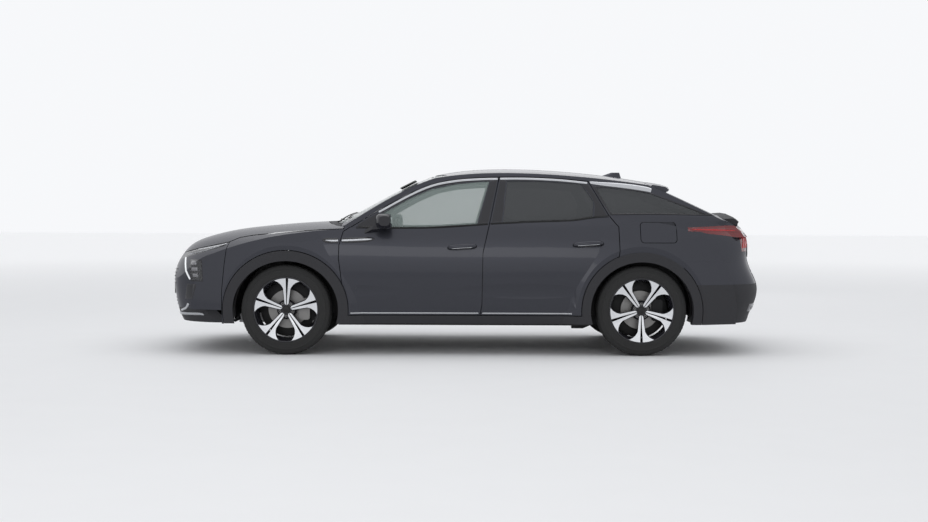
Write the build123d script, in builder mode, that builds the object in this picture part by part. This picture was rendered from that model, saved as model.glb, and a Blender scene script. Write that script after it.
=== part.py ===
# Fastback crossover, five doors, at its real size in millimetres.
# X runs rearward, Y to the car's right and Z up. The origin is on the ground under the middle of the car.
# The body is one lofted outer form. Panels are cut from it and from copies inset by each panel's depth.
# Only the right half is drawn. The left half is its mirror image.

import os
from math import cos, radians, sin, sqrt

from build123d import *

os.makedirs("parts", exist_ok=True)

# Overall size
LENGTH = 4805.0
WIDTH = 1865.0
HEIGHT = 1485.0
WHEELBASE = 2785.0
FRONT_OVERHANG = 995.0
TRACK = 1600.0

# Wheels and tyres, 205/55 R19
TYRE_RADIUS = 354.0
TYRE_WIDTH = 205.0
RIM_RADIUS = 258.0
RIM_WIDTH = 190.0
SPOKE_PAIRS = 5
SPOKE_ANGLE = 88.0
DISH = 24.0
DISC_RADIUS = 152.0
DISC_THICKNESS = 26.0

# Clearances and wall thicknesses
PANEL_GAP = 5.0
SEAT_GAP = 0.3
DOOR_GAP = 6.0
SKIN = 20.0
DOOR_SKIN = 12.0
DOOR_DEPTH = 74.0
FRAME_DEPTH = 42.0
RING_DEPTH = 50.0
MOVING_GAP = 6.0
GLASS_INSET = 4.0
GLASS = 5.0
ARCH_TRIM = 6.0
KINGPIN_INSET = 70.0

# Anchors along the car. The drawing below was made for these reference stations.
X_NOSE = -LENGTH / 2
X_FRONT = X_NOSE + FRONT_OVERHANG
X_REAR = X_FRONT + WHEELBASE
X_TAIL = LENGTH / 2
DRAWN = (-2402.5, -1407.5, 1377.5, 2402.5)
DRAWN_WIDTH = 1865.0
DRAWN_HEIGHT = 1485.0
SILL_HEIGHT = 318.0
WHEEL_Z = TYRE_RADIUS


# The lower body by level: height, nose, tail, half width at the doors
LOWER_LEVELS = (
    (190, -2315, 2296, 850),
    (300, -2362, 2345, 882),
    (430, -2392, 2398, 898),
    (540, -2402.5, 2402.5, 906),
    (640, -2399, 2362, 909),
    (740, -2378, 2324, 904),
    (840, -2334, 2322, 888),
    (930, -2262, 2312, 862),
    (1020, -2150, 2262, 830),
    (1130, -1990, 2130, 786),
)

# The sides of the glasshouse by level: height and half width at the middle pillar
GLASS_LEVELS = (
    (930, 856),
    (1000, 828),
    (1100, 790),
    (1200, 750),
    (1300, 706),
    (1400, 654),
    (1500, 588),
    (1600, 505),
)

# The top of the car in side view: station, height, then how far back and down it lies at the shoulder
SHOULDER = 800.0
BONNET_LINE = (
    (-2560, 420, 215, 40),
    (-2440, 640, 215, 60),
    (-2382, 748, 210, 80),
    (-2300, 846, 190, 105),
    (-2143, 918, 150, 108),
    (-1938, 968, 110, 95),
    (-1650, 1006, 70, 72),
    (-1350, 1032, 40, 62),
    (-1050, 1048, 70, 50),
)
SCREEN_LINE = ((-1050, 1048, 70, 50), (-850, 1150, 70, 32), (-575, 1298, 68, 30), (-290, 1420, 66, 40))
ROOF_LINE = (
    (-290, 1420, 66, 40),
    (-20, 1468, 60, 66),
    (330, 1485, 30, 78),
    (750, 1470, 0, 78),
    (1150, 1432, 0, 74),
    (1450, 1388, 0, 66),
)
BACKLIGHT_LINE = ((1450, 1388, 0, 66), (1650, 1303, -10, 62), (1880, 1200, -25, 60), (2090, 1106, -40, 60))
DECK_LINE = ((2090, 1106, -40, 60), (2200, 1074, -60, 92), (2290, 1000, -80, 112), (2360, 880, -100, 120))

# The waist line, in side view
BELT_LINE = (
    (-2700, 1052),
    (-1300, 1030),
    (-900, 1001),
    (-600, 994),
    (130, 1028),
    (600, 1046),
    (850, 1060),
    (1000, 1082),
    (1150, 1097),
    (1400, 1104),
    (1900, 1100),
    (2700, 1080),
)

# The crease above each wheel arch: its top height and its radius
ARCH_CREASE = 862.0
ARCH_CREASE_RADIUS = 870.0

# The hollow along the lower doors
SCOOP_SURFACE = 907.0
SCOOP_HEIGHT = 478.0
SCOOP_RADIUS = 420.0
SCOOP_DEPTH = 9.5

# Wheel arches, as half length and height over the hub: the trim's outside, then the opening inside it
FRONT_ARCH = (488.0, 463.0, 412.0, 383.0)
REAR_ARCH = (470.0, 458.0, 402.0, 383.0)
TUB_RADIUS = TYRE_RADIUS + 50.0
TUB_WALL = 9.0
TUB_ROOM = TUB_RADIUS + TUB_WALL + SEAT_GAP
TUB_SEAT = 850.0
FRONT_TUB_INSIDE = 478.0
REAR_TUB_INSIDE = 560.0
INNER_WALL = 745.0

# Side views of the shut lines, station and height
FRONT_DOOR_EDGE = ((-930, 318), (-960, 530), (-992, 760), (-990, 860), (-959, 967), (-872, 1020))
FRONT_PILLAR = ((-696, 1130), (-454, 1264), (-271, 1343), (-85, 1381), (100, 1396))
PILLAR_GAP = (
    (263, 1401, 4.6),
    (186, 1037, 3.6),
    (134, 810, 3.0),
    (131, 745, 3.0),
    (127, 403, 3.0),
    (112, 318, 3.0),
)
REAR_DOOR_TOP = ((480, 1402), (740, 1391), (970, 1369))
REAR_DOOR_EDGE = ((1135, 1080), (1195, 1010), (1197, 820), (1190, 762), (1190, 318))
FRONT_WINDOW = (
    (-665, 1001),
    (-668, 1105),
    (-454, 1226),
    (-271, 1306),
    (-85, 1346),
    (100, 1364),
    (184, 1368),
    (85, 1030),
    (-300, 1006),
)
REAR_WINDOW = ((290, 1043), (325, 1370), (620, 1369), (915, 1350), (1008, 1215), (1000, 1088), (820, 1064))
QUARTER_WINDOW = (
    (1146, 1112),
    (1034, 1308),
    (1060, 1325),
    (1160, 1321),
    (1300, 1304),
    (1470, 1274),
    (1700, 1190),
    (1880, 1122),
    (1930, 1108),
    (1500, 1114),
)
BONNET_SIDE = (
    (-2420, 757),
    (-2300, 792),
    (-2100, 838),
    (-1880, 882),
    (-1800, 918),
    (-1690, 937),
    (-1445, 961),
    (-1150, 984),
    (-960, 992),
)
BONNET_REAR = ((-1150, 0), (-1135, 250), (-1095, 480), (-1035, 650), (-990, 735), (-960, 790))
HEADLAMP = (
    (-2420, 750),
    (-2300, 785),
    (-2100, 831),
    (-1884, 874),
    (-1900, 852),
    (-2100, 792),
    (-2300, 742),
    (-2420, 712),
)
SIDE_LAMP = ((-2196, 742), (-2076, 742), (-2060, 570), (-2170, 570))
FENDER_FRONT = ((-1873, 1100), (-1873, 866), (-1890, 708), (-1905, 500), (-1905, 200))
SCREEN_EDGE = ((-872, 742), (-700, 700), (-454, 645), (-271, 606), (-150, 580))
TAILGATE_PLAN = ((1450, 572), (1600, 588), (1850, 612), (2090, 634), (2250, 642), (2500, 650))
TAILGATE_REAR = ((560, 960), (545, 820), (525, 700), (500, 640))
REAR_LAMP = (
    (1735, 1006),
    (2060, 1024),
    (2420, 1024),
    (2420, 817),
    (2200, 817),
    (2180, 925),
    (2060, 943),
    (1900, 960),
)
LIP_TOP = 352.0
VALANCE_TOP = 560.0
FUEL_FLAP = (1363.0, 1653.0, 885.0, 1050.0, 30.0)


def at(x):
    """The station along the car of a drawn station x, stretched between nose, axles and tail."""
    actual = (X_NOSE, X_FRONT, X_REAR, X_TAIL)
    i = 0 if x < DRAWN[1] else 1 if x < DRAWN[2] else 2
    share = (x - DRAWN[i]) / (DRAWN[i + 1] - DRAWN[i])
    return actual[i] + share * (actual[i + 1] - actual[i])


def up(z):
    """A drawn height, stretched above the sill only."""
    if z <= SILL_HEIGHT:
        return z
    return SILL_HEIGHT + (z - SILL_HEIGHT) * (HEIGHT - SILL_HEIGHT) / (DRAWN_HEIGHT - SILL_HEIGHT)


def out(y):
    """A drawn half width, stretched with the car's width."""
    return y * WIDTH / DRAWN_WIDTH


def side_points(points):
    return [(at(x), up(z)) for x, z in points]


def plan_points(points):
    return [(at(x), out(y)) for x, y in points]


def cut(base, *tools):
    """What is left of base once every tool is taken away."""
    with BuildPart() as result:
        add(base)
        for tool in tools:
            add(tool, clean=False, mode=Mode.SUBTRACT)
    return result.part


def common(base, *tools):
    """What base and every tool have in common."""
    with BuildPart() as result:
        add(base)
        for tool in tools:
            add(tool, clean=False, mode=Mode.INTERSECT)
    return result.part


def joined(*items):
    """All the items as one."""
    with BuildPart() as result:
        for item in items:
            add(item)
    return result.part


def side_prism(points, low=0.0, high=1200.0, grow=0.0, corner=0.0):
    """A block drawn in side view, from half width low to high on the right side."""
    with BuildPart() as block:
        with BuildSketch(Plane.XZ.offset(-low)) as outline:
            with BuildLine():
                Polyline(*side_points(points), close=True)
            make_face()
            if corner:
                fillet(outline.vertices(), corner)
            if grow:
                offset(amount=grow, kind=Kind.INTERSECTION)
        extrude(amount=-(high - low))
    return block.part


def plan_prism(points, low=0.0, high=2000.0, grow=0.0):
    """A block drawn from above, from height low to high."""
    with BuildPart() as block:
        with BuildSketch(Plane.XY.offset(low)):
            with BuildLine():
                Polyline(*plan_points(points), close=True)
            make_face()
            if grow:
                offset(amount=grow, kind=Kind.INTERSECTION)
        extrude(amount=high - low)
    return block.part


def rear_prism(points, front, back, grow=0.0):
    """A block drawn from behind, half width and height, from station front to back."""
    with BuildPart() as block:
        with BuildSketch(Plane.YZ.offset(front)):
            with BuildLine():
                Polyline(*[(out(y), up(z)) for y, z in points], close=True)
            make_face()
            if grow:
                offset(amount=grow, kind=Kind.INTERSECTION)
        extrude(amount=back - front)
    return block.part


def arch_prism(x_wheel, half_length, height, low=0.0, high=1200.0):
    """An elliptical bar across the car, centred on a wheel."""
    with BuildPart() as bar:
        with BuildSketch(Plane.XZ.offset(-low)):
            with Locations((x_wheel, WHEEL_Z)):
                Ellipse(half_length, height)
        extrude(amount=-(high - low))
    return bar.part


def block(x0, x1, y0, y1, z0, z1):
    """A plain box between the given stations, half widths and heights."""
    with BuildPart() as box:
        with Locations(((x0 + x1) / 2, (y0 + y1) / 2, (z0 + z1) / 2)):
            Box(x1 - x0, y1 - y0, z1 - z0)
    return box.part


def rod(start, end, radius):
    """A round bar between two points."""
    with BuildPart() as bar:
        with BuildSketch(Plane(origin=start, z_dir=Vector(*end) - Vector(*start))):
            Circle(radius)
        extrude(amount=(Vector(*end) - Vector(*start)).length)
    return bar.part


def waterline(nose, tail, half, inset):
    """Half the outline of the lower body at one level, from the nose round the side to the tail."""
    n, r, w = at(nose) + inset, at(tail) - inset, out(half) - inset
    return [
        (n, 0),
        (n + 24, 0.40 * w),
        (n + 98, 0.71 * w),
        (n + 272, 0.893 * w),
        (n + 600, 0.968 * w),
        (at(-1300), 1.009 * w),
        (at(-500), 0.998 * w),
        (at(300), w),
        (at(1250), 1.006 * w),
        (r - 560, 0.968 * w),
        (r - 240, 0.872 * w),
        (r - 75, 0.66 * w),
        (r - 16, 0.36 * w),
        (r, 0),
    ]


def lower_form(inset):
    """The right half of the body below the glass, before the bonnet line trims it."""
    with BuildPart() as form:
        for height, nose, tail, half in LOWER_LEVELS:
            with BuildSketch(Plane.XY.offset(up(height))):
                with BuildLine():
                    Spline(*waterline(nose, tail, half, inset), tangents=[(0, 1), (0, -1)])
                    Line((at(tail) - inset, 0), (at(nose) + inset, 0))
                make_face()
        loft()
    return form.part


def below_belt(rise=0.0):
    """Everything under the waist line of the car, or under the line raised a little."""
    belt = [(x, z + rise) for x, z in side_points(BELT_LINE)]
    with BuildPart() as block:
        with BuildSketch(Plane.XZ):
            with BuildLine():
                Spline(*belt)
                Polyline(belt[-1], (belt[-1][0], 100), (belt[0][0], 100), belt[0])
            make_face()
        extrude(amount=-1200)
    return block.part


def glasshouse_form(inset):
    """The right half of the cabin above the waist, before the roof line trims it."""
    with BuildPart() as form:
        for height, half in GLASS_LEVELS:
            w = out(half) - inset
            side = [(-1500, w - 130), (-870, w - 34), (-300, w - 8), (300, w), (900, w - 8)]
            side += [(1500, w - 44), (2000, w - 108), (2400, w - 190)]
            side = [(at(x), y) for x, y in side]
            with BuildSketch(Plane.XY.offset(up(height))):
                with BuildLine():
                    Spline(*side)
                    Polyline(side[-1], (side[-1][0], 0), (side[0][0], 0), side[0])
                make_face()
        loft()
    return form.part


def top_form(inset):
    """Everything under the bonnet, windscreen, roof, rear window and deck."""
    with BuildPart() as form:
        for y in (-10, 200, 400, 600, 800, 960):
            share = (out(y) / out(SHOULDER)) ** 2 if y > 0 else 0.0
            with BuildSketch(Plane.XZ.offset(-out(y))):
                with BuildLine():
                    runs = []
                    for line in (BONNET_LINE, SCREEN_LINE, ROOF_LINE, BACKLIGHT_LINE, DECK_LINE):
                        run = [
                            (at(x + back * share), up(z - drop * share) - inset)
                            for x, z, back, drop in line
                        ]
                        Spline(*run)
                        runs.append(run)
                    first, last = runs[0][0], runs[-1][-1]
                    Polyline(last, (last[0] + 300, 100), (first[0] - 300, 100), first)
                make_face()
        loft()
    return form.part


def flare(x_wheel, inset):
    """The swelling of the side over a wheel: a flat flank with a crease above it, as two cones that cross."""
    flank = WIDTH / 2 - ARCH_TRIM - inset
    low = up(ARCH_CREASE) - ARCH_CREASE_RADIUS
    with BuildPart() as upper:
        with BuildSketch(Plane.XZ.offset(-(flank - 90))):
            with Locations((x_wheel, low)):
                Circle(ARCH_CREASE_RADIUS + 190)
        with BuildSketch(Plane.XZ.offset(-flank)):
            with Locations((x_wheel, low)):
                Circle(ARCH_CREASE_RADIUS)
        loft(ruled=True)
    with BuildPart() as around:
        with BuildSketch(Plane.XZ.offset(-(flank - 90))):
            with Locations((x_wheel, WHEEL_Z)):
                Circle(TYRE_RADIUS + 400)
        with BuildSketch(Plane.XZ.offset(-flank)):
            with Locations((x_wheel, WHEEL_Z)):
                Circle(TYRE_RADIUS + 150)
        loft(ruled=True)
    near = block(x_wheel - 1000, x_wheel + 1000, flank - 120, flank, 190, 1200)
    return common(upper.part, around.part, near)


def body_form(low_inset, high_inset, flared=True, ledge=0.0):
    """The whole right half of the car's outer form, inset below and above the waist.

    The ledge between the two insets may lie a little above the waist.
    """
    lower = lower_form(low_inset)
    upper = glasshouse_form(high_inset)
    if ledge:
        upper = cut(upper, cut(below_belt(ledge), lower))
    if flared:
        lower = joined(lower, flare(X_FRONT, low_inset), flare(X_REAR, low_inset))
    lower = common(lower, below_belt())
    return common(joined(lower, upper), top_form(min(low_inset, high_inset)))


def door_scoop():
    """The shallow hollow along the lower doors: a long spindle, deepest at the middle pillar."""
    centre_y = out(SCOOP_SURFACE) + SCOOP_RADIUS - SCOOP_DEPTH
    with BuildPart() as spindle:
        with BuildSketch(Plane.XY.offset(up(SCOOP_HEIGHT))):
            with BuildLine():
                ThreePointArc(
                    (at(-860), centre_y - SCOOP_RADIUS + SCOOP_DEPTH + 1),
                    (at(0), centre_y - SCOOP_RADIUS),
                    (at(860), centre_y - SCOOP_RADIUS + SCOOP_DEPTH + 1),
                )
                Polyline(
                    (at(860), centre_y - SCOOP_RADIUS + SCOOP_DEPTH + 1),
                    (at(860), centre_y),
                    (at(-860), centre_y),
                    (at(-860), centre_y - SCOOP_RADIUS + SCOOP_DEPTH + 1),
                )
            make_face()
        revolve(axis=Axis((0, centre_y, up(SCOOP_HEIGHT)), (1, 0, 0)))
    return spindle.part


def glazing_form(inset):
    """The right half of the glasshouse alone, with its roof line."""
    return common(glasshouse_form(inset), top_form(inset))


def largest(thing, count=1):
    """The biggest solids of a shape, so slivers left by a cut are dropped."""
    with BuildPart() as result:
        for solid in thing.solids().sort_by(SortBy.VOLUME)[-count:]:
            add(solid)
    return result.part


def whole(half):
    """Both halves of a piece that crosses the middle of the car."""
    with BuildPart() as result:
        add(half)
        mirror(about=Plane.XZ)
    return result.part


# The outer form and its copies, each inset by the depth of what is made from it
OUTER = cut(body_form(0, 0), door_scoop())
UNDER_SKIN = body_form(SKIN, SKIN)
UNDER_DOOR_SKIN = body_form(DOOR_SKIN, DOOR_SKIN)
UNDER_DOOR = body_form(DOOR_DEPTH, FRAME_DEPTH, flared=False)
RING_LOW = DOOR_DEPTH + MOVING_GAP
RING_HIGH = FRAME_DEPTH + MOVING_GAP
RING_OUTSIDE = body_form(RING_LOW, RING_HIGH, flared=False, ledge=MOVING_GAP)
RING_INSIDE = body_form(RING_LOW + RING_DEPTH, RING_HIGH + RING_DEPTH, flared=False)
GLASS_OUTSIDE = glazing_form(GLASS_INSET)
GLASS_INSIDE = glazing_form(GLASS_INSET + GLASS)
TRIM_OUTSIDE = body_form(-ARCH_TRIM, -ARCH_TRIM)
GLASS_SHELL = cut(GLASS_OUTSIDE, GLASS_INSIDE)

# Outlines shared by several panels
front_door_points = [*FRONT_DOOR_EDGE, *FRONT_PILLAR]
front_door_points += [(x - side, z) for x, z, side in PILLAR_GAP]
rear_door_points = [(x + side, z) for x, z, side in reversed(PILLAR_GAP)]
rear_door_points += [*REAR_DOOR_TOP, *REAR_DOOR_EDGE]
FRONT_ARCH_BAR = arch_prism(X_FRONT, FRONT_ARCH[0] + DOOR_GAP, FRONT_ARCH[1] + DOOR_GAP)
REAR_ARCH_BAR = arch_prism(X_REAR, REAR_ARCH[0] + DOOR_GAP, REAR_ARCH[1] + DOOR_GAP)
FRONT_ARCH_HOLE = arch_prism(X_FRONT, TUB_RADIUS, TUB_RADIUS)
REAR_ARCH_HOLE = arch_prism(X_REAR, TUB_RADIUS, TUB_RADIUS)
bonnet_side = [*BONNET_SIDE, (-900, 1700), (-2500, 1700), (-2500, 757)]
bonnet_plan = [(-2500, 0), *BONNET_REAR, (-960, 900), (-2500, 900)]
bonnet_region = common(side_prism(bonnet_side), plan_prism(bonnet_plan))
bonnet_opening = common(
    side_prism(bonnet_side, grow=DOOR_GAP),
    plan_prism([(-2500, -50), (-1150, -50), *BONNET_REAR, (-960, 950), (-2500, 950)], grow=DOOR_GAP),
)
tailgate_plan = [(1450, -50), *TAILGATE_PLAN, (2500, -50)]
tailgate_rear = [*TAILGATE_REAR, (-50, 640), (-50, 960)]
tailgate_region = common(
    joined(plan_prism(tailgate_plan, up(945), 1700), rear_prism(tailgate_rear, at(1900), at(2500))),
    block(0, 3000, 0, 1200, 0, 1700),
)
tailgate_opening = joined(
    plan_prism(tailgate_plan, up(945) - DOOR_GAP, 1700, grow=DOOR_GAP),
    rear_prism(tailgate_rear, at(1900), at(2500), grow=DOOR_GAP),
)
screen_plan = [(-1075, -50), (-1075, 0), (-1060, 250), (-1020, 480), (-955, 650), *SCREEN_EDGE]
screen_plan += [(-185, 450), (-240, 250), (-262, 0), (-262, -50)]
bumper_side = [(1700, 100), (2500, 100), (2500, 742), (1700, 742)]


def door(points, window, arch):
    """A door: a thin skin on the full outline and a deeper frame set back from its edges."""
    skin = cut(common(OUTER, side_prism(points)), UNDER_DOOR_SKIN)
    frame = cut(common(UNDER_DOOR_SKIN, side_prism(points, grow=-16)), UNDER_DOOR)
    return largest(cut(joined(skin, frame), side_prism(window), arch))


def glass(points):
    """The pane that fills a window of the side."""
    return common(GLASS_SHELL, side_prism(points, grow=-SEAT_GAP))


# Doors of the right side
right_front_door = door(front_door_points, FRONT_WINDOW, FRONT_ARCH_BAR)
right_rear_door = door(rear_door_points, REAR_WINDOW, REAR_ARCH_BAR)
right_front_glass = glass(FRONT_WINDOW)
right_rear_glass = glass(REAR_WINDOW)
right_quarter_glass = glass(QUARTER_WINDOW)

# Door mirror on a short arm
arm_root = [(-800, 950), (-690, 972), (-655, 1008), (-700, 1012), (-790, 985)]
arm_end = [(-735, 985), (-660, 992), (-600, 1030), (-650, 1040), (-725, 1012)]
with BuildPart() as right_mirror:
    with BuildSketch(Plane.XZ.offset(-out(862))):
        with BuildLine():
            Polyline(*side_points(arm_root), close=True)
        make_face()
    with BuildSketch(Plane.XZ.offset(-out(905))):
        with BuildLine():
            Polyline(*side_points(arm_end), close=True)
        make_face()
    loft()
    with BuildSketch(Plane.XZ.offset(-out(895))) as near:
        with Locations((at(-632), up(1047))):
            RectangleRounded(104, 104, 30)
    with BuildSketch(Plane.XZ.offset(-out(975))) as middle:
        with Locations((at(-638), up(1050))):
            RectangleRounded(122, 112, 36)
    with BuildSketch(Plane.XZ.offset(-out(1030))) as tip:
        with Locations((at(-630), up(1052))):
            RectangleRounded(84, 76, 30)
    loft()
mirror_right = cut(right_mirror.part, OUTER)

# Body side: sill, pillars, roof rail and rear quarter in one piece, as thick as the whole wall
front_entry = side_prism(front_door_points, grow=-58)
rear_entry = cut(side_prism(rear_door_points, grow=-58), arch_prism(X_REAR, TUB_RADIUS + 60, TUB_RADIUS + 60))
fender_end = [(-905, 200), (-905, 900), (-955, 975), (-985, 990)]
recess = joined(
    side_prism(front_door_points, grow=DOOR_GAP),
    side_prism(rear_door_points, grow=DOOR_GAP),
    side_prism([(-1100, 200), *fender_end, (-985, 1100), (-1100, 1100)]),
)
recess = cut(recess, RING_OUTSIDE, block(at(-905), at(900), 0, 1200, 0, SILL_HEIGHT - DOOR_GAP))
cabin = cut(
    RING_INSIDE,
    block(at(-905), X_REAR - TUB_RADIUS, INNER_WALL, 1000, 200, SILL_HEIGHT - DOOR_GAP),
    common(
        arch_prism(X_REAR, TUB_RADIUS + 40, TUB_RADIUS + 40, INNER_WALL),
        block(X_REAR - 500, X_REAR + 500, 0, 1200, 300, 1200),
    ),
)
body_side = cut(
    common(OUTER, side_prism([(-1060, 249), (2420, 249), (2420, 1600), (-1060, 1600)])),
    cabin,
    recess,
    joined(front_entry, rear_entry, REAR_ARCH_HOLE),
    arch_prism(X_FRONT, TUB_ROOM, TUB_ROOM),
    bonnet_opening,
    block(-1100, 1700, 0, INNER_WALL, 0, 480),
    joined(
        plan_prism(screen_plan, 900),
        plan_prism([(-400, -50), *SCREEN_EDGE[3:], (1446, 566), (1446, -50)], 1200, 1700),
    ),
    tailgate_opening,
    joined(
        side_prism(bumper_side, grow=SEAT_GAP),
        side_prism(QUARTER_WINDOW),
        side_prism(REAR_LAMP, 560, 1200),
        side_prism([(-1100, 985), (-985, 985), (-985, 1300), (-1100, 1300)]),
    ),
)
body_side = largest(body_side)

# Roof, bonnet and the panels in front of the doors
roof_plan = [(-262, 0), (-240, 250), (-185, 450), *SCREEN_EDGE[3:], (1446, 566), (1446, 0)]
roof_half = cut(
    common(OUTER, plan_prism(roof_plan, 1200, 1700)),
    UNDER_SKIN,
    plan_prism(screen_plan, 900),
    tailgate_opening,
)
with BuildPart() as fin:
    with BuildSketch(Plane.XY.offset(up(1405))):
        with Locations((at(1190), 0)):
            Ellipse(125, 34)
    with BuildSketch(Plane.XY.offset(up(1462))):
        with Locations((at(1262), 0)):
            Ellipse(34, 7)
    loft()
roof_half = joined(roof_half, common(cut(fin.part, UNDER_SKIN), block(at(900), at(1400), 0, 100, 1300, 1600)))
bonnet_half = cut(common(OUTER, bonnet_region), UNDER_SKIN)
front_inside = cut(
    UNDER_SKIN,
    common(
        arch_prism(X_FRONT, TUB_RADIUS + 14, TUB_RADIUS + 14, TUB_SEAT),
        block(X_FRONT - 500, X_FRONT + 500, 0, 1200, 420, 1200),
    ),
)
front_zone = [(-2500, 246), (-905, 246), *fender_end[1:], (-985, 1062), (-2500, 1062)]
front_rest = cut(
    common(OUTER, side_prism(front_zone)),
    front_inside,
    bonnet_opening,
    FRONT_ARCH_BAR,
    FRONT_ARCH_HOLE,
    joined(
        side_prism(front_door_points, grow=DOOR_GAP),
        side_prism(HEADLAMP, 430, 1200),
        side_prism(SIDE_LAMP, 500, 1200),
        plan_prism(screen_plan, 900, grow=SEAT_GAP),
    ),
)
grille_points = [(-50, 330), (430, 330), (520, 420), (545, 560), (480, 672), (-50, 690)]
grille_opening = rear_prism(grille_points, X_NOSE - 50, X_NOSE + 300)
fender_region = side_prism([*FENDER_FRONT, (-900, 200), (-900, 1100)], grow=-PANEL_GAP / 2)
cowl_region = plan_prism([(-1160, -50), (-1160, 600), (-990, 705), (-900, 705), (-900, -50)], 900, 1200)
fender = largest(cut(common(front_rest, fender_region), cowl_region))
cowl_half = largest(common(front_rest, fender_region, cowl_region))
bumper_half = cut(
    common(front_rest, side_prism([(-2600, 200), (-2600, 1100), *FENDER_FRONT], grow=-PANEL_GAP / 2)),
    grille_opening,
)
front_lip_half = largest(common(bumper_half, block(-3000, -1000, 0, 1200, 200, up(LIP_TOP))))
bumper_half = largest(common(bumper_half, block(-3000, -1000, 0, 1200, up(LIP_TOP) + SEAT_GAP, 1200)))
grille_half = cut(
    common(OUTER, rear_prism(grille_points, X_NOSE - 50, X_NOSE + 300, grow=-SEAT_GAP)),
    block(X_NOSE - 100, 0, -100, 0, 0, 1000),
)
grille_half = cut(grille_half, UNDER_DOOR_SKIN)
headlamp = cut(common(OUTER, side_prism(HEADLAMP, 430.3, 1200, grow=-SEAT_GAP)), UNDER_DOOR, bonnet_opening)
side_lamp = cut(common(OUTER, side_prism(SIDE_LAMP, 500.3, 1200, grow=-SEAT_GAP)), UNDER_DOOR)
headlamp = largest(headlamp)
side_lamp = largest(side_lamp)

# Rear bumper, lamps and tailgate
rear_bumper_half = cut(
    common(OUTER, side_prism([(1700, 249), (2500, 249), (2500, 742), (1700, 742)])),
    UNDER_SKIN,
    REAR_ARCH_BAR,
    tailgate_opening,
)
below_seam = block(1500, 3000, 0, 1200, 200, up(VALANCE_TOP))
above_seam = block(1500, 3000, 0, 1200, up(VALANCE_TOP) + SEAT_GAP, 1200)
valance_half = largest(common(rear_bumper_half, below_seam))
rear_bumper_half = largest(common(rear_bumper_half, above_seam))
rear_lamp = common(OUTER, side_prism(REAR_LAMP, 560.3, 1200, grow=-SEAT_GAP))
rear_lamp = largest(cut(rear_lamp, UNDER_DOOR, tailgate_opening))
window_plan = [(1512, -50), (1512, 520), (1600, 536), (1850, 560), (2005, 575)]
window_plan += [(2030, 450), (2045, 250), (2050, -50)]
half_space = block(-3000, 3000, 0, 1200, 0, 2000)
tailgate_half = cut(common(OUTER, tailgate_region), UNDER_SKIN, plan_prism(window_plan, 900, 1700))
tailgate_glass_half = common(GLASS_SHELL, plan_prism(window_plan, 900, 1700, grow=-SEAT_GAP), half_space)
screen_half = common(GLASS_SHELL, plan_prism(screen_plan, 900, grow=-SEAT_GAP), half_space)

with BuildPart() as spoiler_half:
    for y in (0, 280, 590):
        drop = 66 * (y / SHOULDER) ** 2
        with BuildSketch(Plane.XZ.offset(-out(y))):
            with BuildLine():
                Polyline(
                    *side_points([
                        (1476, 1372 - drop),
                        (1500, 1383 - drop),
                        (1600, 1366 - drop),
                        (1700 - 0.12 * y, 1344 - drop),
                        (1692 - 0.12 * y, 1332 - drop),
                        (1600, 1322 - drop),
                        (1530, 1338 - drop),
                    ]),
                    close=True,
                )
            make_face()
    loft(ruled=True)
window_room = common(OUTER, plan_prism(window_plan, 1150, 1700))
spoiler = common(cut(spoiler_half.part, UNDER_SKIN, window_room), tailgate_region)
tailgate_half = joined(tailgate_half, spoiler)

with BuildPart() as deck_blade:
    for y in (0, 250, 430, 585):
        drop = 46 * (y / 585) ** 2
        with BuildSketch(Plane.XZ.offset(-out(y))):
            with BuildLine():
                Polyline(
                    *side_points([
                        (2040, 1090 - drop),
                        (2066, 1122 - drop),
                        (2150, 1127 - drop),
                        (2228 - 0.06 * y, 1099 - drop),
                        (2220 - 0.06 * y, 1086 - drop),
                        (2182, 1072 - drop),
                        (2160, 1020 - drop),
                        (2060, 1020 - drop),
                    ]),
                    close=True,
                )
            make_face()
    loft(ruled=True)
deck_blade_half = largest(cut(deck_blade.part, OUTER))


def arch_trim(x_wheel, arch):
    """The cladding round a wheel arch: a plate on the flank and a lip turned in to the tub."""
    ring = cut(arch_prism(x_wheel, arch[0], arch[1], 700), arch_prism(x_wheel, arch[2], arch[3], 690))
    inner_cut = cut(OUTER, arch_prism(x_wheel, TUB_RADIUS - SEAT_GAP, TUB_RADIUS - SEAT_GAP, TUB_SEAT))
    plate = cut(common(TRIM_OUTSIDE, ring), inner_cut)
    return largest(common(plate, block(x_wheel - 900, x_wheel + 900, 0, 1200, 249, 1400)))


front_trim = arch_trim(X_FRONT, FRONT_ARCH)
rear_trim = arch_trim(X_REAR, REAR_ARCH)
sill_trim = common(TRIM_OUTSIDE, block(X_FRONT + 470, X_REAR - 460, 0, 1200, 249, SILL_HEIGHT - DOOR_GAP))
sill_trim = cut(sill_trim, OUTER)

# Floor, bulkhead, wheel tubs and boot floor
floor_edge = INNER_WALL - SEAT_GAP
crash_beam = [(-2230, 0), (-2350, 0), (-2335, 300), (-2300, 450), (-2255, 600), (-2230, 600)]
rear_beam = [(2200, 0), (2352, 0), (2345, 250), (2328, 400), (2285, 540), (2200, 540)]
tower = (X_FRONT - 62, X_FRONT + 62, 380, 430)
tower_room = (tower[0] - SEAT_GAP, tower[1] + SEAT_GAP, tower[2] - SEAT_GAP, tower[3] + SEAT_GAP)
floor_half = joined(
    block(-1010, 1010, 0, floor_edge, 226, 262),
    block(-1010, 430 - SEAT_GAP, 0, 110, 262, 372),
    block(-1010, -985, 0, floor_edge, 226, 900),
    block(960, 1010, 0, floor_edge, 226, 520),
    block(960, 2280, 0, 560, 500, 530),
    block(2200, 2250, 0, 440, 330, 640),
    block(X_FRONT + 380, -985, 560, 700, 300, 500),
    block(at(-2250), -985, 400, 458, 430, 520),
    plan_prism(crash_beam, 430, 540),
    plan_prism(rear_beam, 430, 540),
)


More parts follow.
